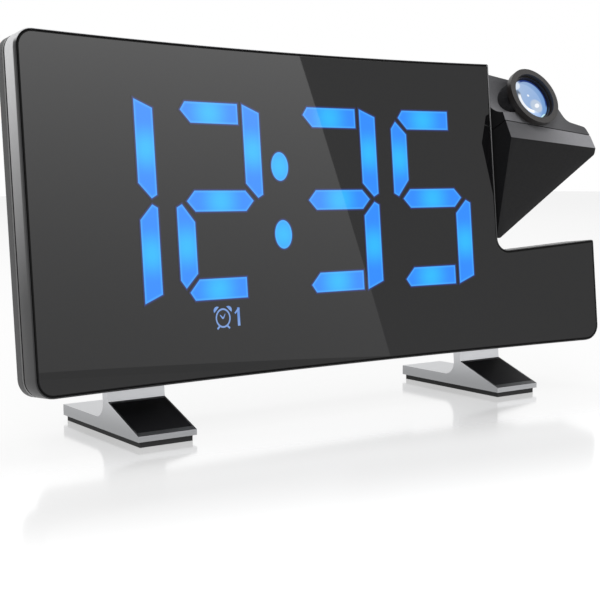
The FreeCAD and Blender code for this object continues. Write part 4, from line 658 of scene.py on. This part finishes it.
class CLOCK_OT_digits(bpy.types.Operator):
    """Lit bars of the four digits, each bright in front of its lamp"""

    bl_idname = "clock.digits"
    bl_label = "Digits"

    def execute(self, context):
        halo = sizes().halo / MM
        insets = (-halo, -halo * 0.5, -0.1, 0.1, 0.3, 0.62, 1.2)
        bars = digit_bars()
        for number, shown in enumerate(("bc", "abged", "abgcd", "afgcd")):
            mesh = bmesh.new()
            for bar in shown:
                points = [(LEFTS[number] + x, BASE + z) for x, z in bars[bar]]
                lamp = (sum(x for x, _ in points) / len(points),
                        (min(z for _, z in points) + max(z for _, z in points)) / 2)
                if bar in "adg":
                    lamp = ((min(x for x, _ in points) + max(x for x, _ in points)) / 2, lamp[1])
                light_patch(mesh, points, lamp, insets)
            add_piece(f"lit_digit_{number + 1}", mesh, "lit_window", "housing",
                      nodes=(f"digit_{number + 1}_lit",))
        return {"FINISHED"}


def ellipse(x, z, wide, tall, steps=40):
    return [(x + wide * math.cos(2 * math.pi * k / steps), z + tall * math.sin(2 * math.pi * k / steps))
            for k in range(steps)]


def stroke(start, end, wide, wide_end=None):
    """Four-cornered stroke between two points."""
    a, b = Vector(start), Vector(end)
    along = (b - a).normalized()
    side = Vector((-along.y, along.x))
    wide_end = wide if wide_end is None else wide_end
    return [tuple(a - side * wide / 2), tuple(b - side * wide_end / 2), tuple(b + side * wide_end / 2),
            tuple(a + side * wide / 2)]


class CLOCK_OT_signs(bpy.types.Operator):
    """Colon, ringing clock sign and alarm number"""

    bl_idname = "clock.signs"
    bl_label = "Signs"

    def execute(self, context):
        halo = sizes().halo / MM
        mesh = bmesh.new()
        for level in (54.55, 36.45):
            light_patch(mesh, ellipse(-18.2, level, 2.75, 3.8), (-18.2, level),
                        (-halo, -halo * 0.5, -0.1, 0.1, 0.3, 0.62, 1.2))
        add_piece("lit_colon", mesh, "lit_window", "housing", nodes=("colon_lit",))
        mesh = bmesh.new()
        x, z, ring = -39.1, 15.45, 2.12
        steps = 36
        for k in range(steps):
            first, second = 2 * math.pi * k / steps, 2 * math.pi * (k + 1) / steps
            points = [(x + r * math.cos(t), z + r * 1.08 * math.sin(t))
                      for r, t in ((ring - 0.22, first), (ring + 0.22, first), (ring + 0.22, second),
                                   (ring - 0.22, second))]
            sign_patch(mesh, points)
        sign_patch(mesh, stroke((x, z - 0.15), (x - 0.95, z + 0.85), 0.5, 0.25))
        sign_patch(mesh, stroke((x, z - 0.15), (x + 0.72, z + 1.05), 0.42, 0.2))
        for side in (-1, 1):
            turn = math.radians(90 - side * 45)
            bell = []
            for k in range(13):
                t = turn + math.radians(-78 + 156 * k / 12)
                bell.append((x + side * 1.75 + 1.05 * math.cos(t) * 1.05, z + 2.0 + 1.05 * math.sin(t)))
            sign_patch(mesh, bell)
            sign_patch(mesh, stroke((x + side * 1.15, z - 2.0), (x + side * 1.95, z - 2.75), 0.5))
        number = -34.2
        sign_patch(mesh, stroke((number, z - 2.3), (number, z + 2.45), 0.82))
        sign_patch(mesh, stroke((number + 0.3, z + 2.3), (number - 1.15, z + 0.95), 0.6, 0.45))
        add_piece("lit_alarm_sign", mesh, "lit_sign", "housing", nodes=("alarm_sign_lit",))
        return {"FINISHED"}


def sign_patch(mesh, points):
    """Small lit patch with no halo."""
    light_patch(mesh, points, points[0], (0.0, 0.08), raised=0.035)


class CLOCK_OT_frame(bpy.types.Operator):
    """Frame around the face, with its seam"""

    bl_idname = "clock.frame"
    bl_label = "Frame"

    def execute(self, context):
        seam = sizes().seam / MM
        profile = [(1.9, 2.1), (0.43, 2.1), (0.43, 0.30), (0.33, 0.12), (0.20, 0.07), (0.06, 0.22),
                   (0.0, 0.5), (0.0, 6.3), (0.0, 6.45), (0.5, 6.55), (0.5, 6.6 + seam),
                   (0.0, 6.75 + seam), (0.0, 8.0), (0.1, 8.1), (2.0, 8.1), (2.0, 2.6)]
        rim = crease(bent_shell(profile, False, (2, 2, 0, 0, 0, 0, 0, 0, 2, 2, 2, 1, 1, 1)), 28)
        add_piece("frame_rim", rim, ("rim_wall", "gloss_moulding", "black_edge"), "housing",
                  nodes=("bezel_frame",))
        return {"FINISHED"}


class CLOCK_OT_lens(bpy.types.Operator):
    """Domed front lens of the head"""

    bl_idname = "clock.lens"
    bl_label = "Lens"

    def execute(self, context):
        mesh = bmesh.new()
        steps = 72
        bow = (LENS_RADIUS ** 2 + LENS_DOME ** 2) / (2 * LENS_DOME)
        dome = [(LENS_RADIUS * k / 12,
                 LENS_FRONT - bow + math.sqrt(bow ** 2 - (LENS_RADIUS * k / 12) ** 2))
                for k in range(12, 0, -1)]
        loops = []
        for r, level in [(LENS_RADIUS, LENS_BACK), (LENS_RADIUS, LENS_FRONT - LENS_DOME)] + dome:
            loops.append([(r * math.cos(2 * math.pi * k / steps), r * math.sin(2 * math.pi * k / steps),
                           level) for k in range(steps)])
        rows = join_loops(mesh, loops)
        mesh.faces.new(rows[0][::-1])
        mesh.faces.new(rows[-1])
        bmesh.ops.recalc_face_normals(mesh, faces=mesh.faces)
        place = mesh.verts.layers.float_vector.new("lens_place")
        for vertex in mesh.verts:
            # The marks are laid out across the head and up its face, in millimetres.
            vertex[place] = (vertex.co.x, vertex.co.y, 0.0)
        crease(mesh, 40)
        add_piece("front_lens", mesh, "coated_lens", "lens_cell",
                  place=HEAD @ Matrix.Translation((LENS[0] * MM, LENS[1] * MM, 0)),
                  nodes=("objective_lens",))
        return {"FINISHED"}


class CLOCK_OT_cad_nodes(bpy.types.Operator):
    """Finishes for the parts that keep their own shape"""

    bl_idname = "clock.cad_nodes"
    bl_label = "Kept parts"

    def execute(self, context):
        edge = sizes().bevel
        plain = {
            "light_box": "white_box", "display_board": "circuit_board", "display_lamps": "clear_lamp",
            "main_board": "circuit_board", "board_chips": "dark_chip", "tact_switches": "dark_chip",
            "speaker_frame": "steel", "speaker_magnet": "dark_chip", "speaker_cone": "cone_coating",
            "battery_holder": "dark_chip", "coin_cell": "steel", "battery_lid": "satin_cover",
            "power_inlet": "barrel_plastic", "inlet_pin": "plated", "charging_port": "steel",
            "port_tongue": "barrel_plastic", "housing_screws": "steel", "foot_screws": "steel",
            "pivot_shaft": "steel", "pivot_bush": "bearing_plastic", "friction_washer":
            "bearing_plastic", "retaining_clip": "steel", "condenser_lens": "inner_glass",
            "image_slide": "inner_glass", "light_duct": "dark_chip", "lamp_board": "circuit_board",
            "projection_lamp": "clear_lamp", "rear_cover": "satin_cover", "lens_cell":
            "barrel_plastic", "focus_ring": "ring_plastic",
            "lens_barrel": "barrel_plastic", "snooze_bar": "key_plastic",
        }
        for key in ("mode", "set", "up", "down", "alarm", "projector"):
            plain[f"button_{key}"] = "key_plastic"
        for node, material in plain.items():
            dress_node(node, material)
        dress_node("head_cap", "cap_plastic", edge)
        dress_node("head_shell", "shell_plastic", edge)
        for side in ("left", "right"):
            dress_node(f"foot_{side}", "brushed_silver")
            dress_node(f"foot_insert_{side}", "black_film")
            dress_node(f"foot_pad_{side}", "rubber")
        return {"FINISHED"}


class CLOCK_OT_stage(bpy.types.Operator):
    """Pale floor, soft light and the camera"""

    bl_idname = "clock.stage"
    bl_label = "Stage"

    def execute(self, context):
        scene = context.scene
        scene.view_settings.view_transform = "Standard"
        world = bpy.data.worlds.new("Studio")
        scene.world = world
        world.use_nodes = True
        tree = world.node_tree
        tree.nodes.clear()
        path = tree.nodes.new("ShaderNodeLightPath")
        plain = tree.nodes.new("ShaderNodeBackground")
        plain.inputs[0].default_value = (1, 1, 1, 1)
        plain.inputs[1].default_value = 0.55
        white = tree.nodes.new("ShaderNodeBackground")
        white.inputs[0].default_value = (1, 1, 1, 1)
        white.inputs[1].default_value = 1.0
        mix = tree.nodes.new("ShaderNodeMixShader")
        out = tree.nodes.new("ShaderNodeOutputWorld")
        seen = Field(tree, path.outputs["Is Camera Ray"])
        glossy = Field(tree, path.outputs["Is Glossy Ray"])
        through = Field(tree, path.outputs["Is Transmission Ray"])
        share = seen.maths("MAXIMUM", glossy).maths("MAXIMUM", through)
        tree.links.new(share.socket, mix.inputs[0])
        tree.links.new(plain.outputs[0], mix.inputs[1])
        tree.links.new(white.outputs[0], mix.inputs[2])
        tree.links.new(mix.outputs[0], out.inputs[0])
        self.floor()
        self.glare_card()
        self.lamp("key_light", (-0.55, -0.75, 0.85), (0, 0, 0.05), 0.5, 5.0)
        self.lamp("top_light", (0.1, 0.15, 0.9), (0, 0, 0.05), 0.7, 4.0)
        self.camera(scene)
        return {"FINISHED"}

    def floor(self):
        mesh = bmesh.new()
        reach = 6.0
        mesh.faces.new([mesh.verts.new(p) for p in ((-reach, -reach, 0), (reach, -reach, 0),
                                                    (reach, reach, 0), (-reach, reach, 0))])
        data = bpy.data.meshes.new("floor")
        mesh.to_mesh(data)
        mesh.free()
        floor = bpy.data.objects.new("floor", data)
        bpy.context.collection.objects.link(floor)
        f = Finish("white_floor")
        f.set(Base_Color=(0.9, 0.9, 0.9), Roughness=0.9, Specular_IOR_Level=0.0)
        path = f.tree.nodes.new("ShaderNodeLightPath")
        share = Field(f.tree, path.outputs["Is Camera Ray"]).maths(
            "MAXIMUM", Field(f.tree, path.outputs["Is Glossy Ray"])) * 0.8
        white = f.tree.nodes.new("ShaderNodeEmission")
        white.inputs[0].default_value = (1, 1, 1, 1)
        white.inputs[1].default_value = 1.2
        ground = f.tree.nodes.new("ShaderNodeMixShader")
        f.tree.links.new(share.socket, ground.inputs[0])
        f.tree.links.new(f.shader.outputs[0], ground.inputs[1])
        f.tree.links.new(white.outputs[0], ground.inputs[2])
        shine = f.tree.nodes.new("ShaderNodeBsdfGlossy")
        shine.inputs["Roughness"].default_value = 0.11
        # The polish fades out a hand's width in front of the clock.
        x, y, _ = f.parts()
        behind = x * 0.158 + y * 1.1065 + 0.3412
        polish = behind.above(0.198, 0.262) * 0.27 + behind.above(0.268, 0.31) * 0.22
        both = f.tree.nodes.new("ShaderNodeMixShader")
        f.tree.links.new(polish.socket, both.inputs[0])
        f.tree.links.new(ground.outputs[0], both.inputs[1])
        f.tree.links.new(shine.outputs[0], both.inputs[2])
        f.tree.links.new(both.outputs[0], f.output.inputs[0])
        data.materials.append(f.material)

    def glare_card(self):
        """Tall bright card far in front, whose straight edge is mirrored in the face."""
        mesh = bmesh.new()
        corners = ((1.412, -2.0, 0.03), (1.70, -2.0, 1.64), (3.6, -2.0, 1.64), (3.6, -2.0, 0.03))
        mesh.faces.new([mesh.verts.new(p) for p in corners])
        data = bpy.data.meshes.new("glare_card")
        mesh.to_mesh(data)
        mesh.free()
        card = bpy.data.objects.new("glare_card", data)
        bpy.context.collection.objects.link(card)
        f = Finish("glare_light")
        across, _, height = f.parts()
        light = f.node("Emission", Strength=(height * height * 1.6 + height * 0.6 + 1.2)
                       * (1.9 - across * 0.45))
        f.tree.links.new(light.socket, f.output.inputs[0])
        data.materials.append(f.material)
        card.visible_camera = False
        card.visible_diffuse = False
        card.visible_shadow = False
        card.visible_transmission = False

    def lamp(self, name, place, target, size, power):
        data = bpy.data.lights.new(name, "AREA")
        data.energy = power
        data.size = size
        lamp = bpy.data.objects.new(name, data)
        bpy.context.collection.objects.link(lamp)
        lamp.location = place
        lamp.rotation_euler = (Vector(target) - Vector(place)).to_track_quat("-Z", "Y").to_euler()
        lamp.visible_glossy = False

    def camera(self, scene):
        data = bpy.data.cameras.new("camera")
        data.sensor_width = 36
        data.lens = 1210.987 / 600 * 36
        data.clip_start = 0.01
        camera = bpy.data.objects.new("camera", data)
        bpy.context.collection.objects.link(camera)
        yaw, pitch, roll = (math.radians(angle) for angle in (-34.6665, -5.5138, -0.2577))
        ahead = Vector((-math.sin(yaw) * math.cos(pitch), math.cos(yaw) * math.cos(pitch),
                        math.sin(pitch)))
        level = Vector((math.cos(yaw), math.sin(yaw), 0))
        above = level.cross(ahead)
        side = level * math.cos(roll) + above * math.sin(roll)
        up = above * math.cos(roll) - level * math.sin(roll)
        turn = Matrix((side, up, -ahead)).transposed().to_4x4()
        camera.matrix_world = Matrix.Translation((-0.198621, -0.280006, 0.063657)) @ turn
        scene.camera = camera


class CLOCK_PT_pieces(bpy.types.Panel):
    """Lists the clock's pieces"""

    bl_idname = "CLOCK_PT_pieces"
    bl_label = "Clock"
    bl_space_type = "VIEW_3D"
    bl_region_type = "UI"
    bl_category = "Clock"

    def draw(self, context):
        for operator in OPERATORS:
            self.layout.operator(operator.bl_idname)
        for group in (context.scene.clock_sizes, context.scene.clock_colours):
            for name in group.bl_rna.properties.keys():
                if name not in ("name", "rna_type"):
                    self.layout.prop(group, name)


OPERATORS = (CLOCK_OT_face, CLOCK_OT_digits, CLOCK_OT_signs, CLOCK_OT_frame, CLOCK_OT_lens,
             CLOCK_OT_cad_nodes, CLOCK_OT_stage)
CLASSES = (ClockSizes, ClockColours, *OPERATORS, CLOCK_PT_pieces)


def register():
    for cls in CLASSES:
        bpy.utils.register_class(cls)
    bpy.types.Scene.clock_sizes = PointerProperty(type=ClockSizes)
    bpy.types.Scene.clock_colours = PointerProperty(type=ClockColours)


def unregister():
    del bpy.types.Scene.clock_colours
    del bpy.types.Scene.clock_sizes
    for cls in reversed(CLASSES):
        bpy.utils.unregister_class(cls)


def main():
    register()
    make_finishes()
    for operator in OPERATORS:
        group, name = operator.bl_idname.split(".")
        getattr(getattr(bpy.ops, group), name)()


if __name__ == "__main__":
    main()
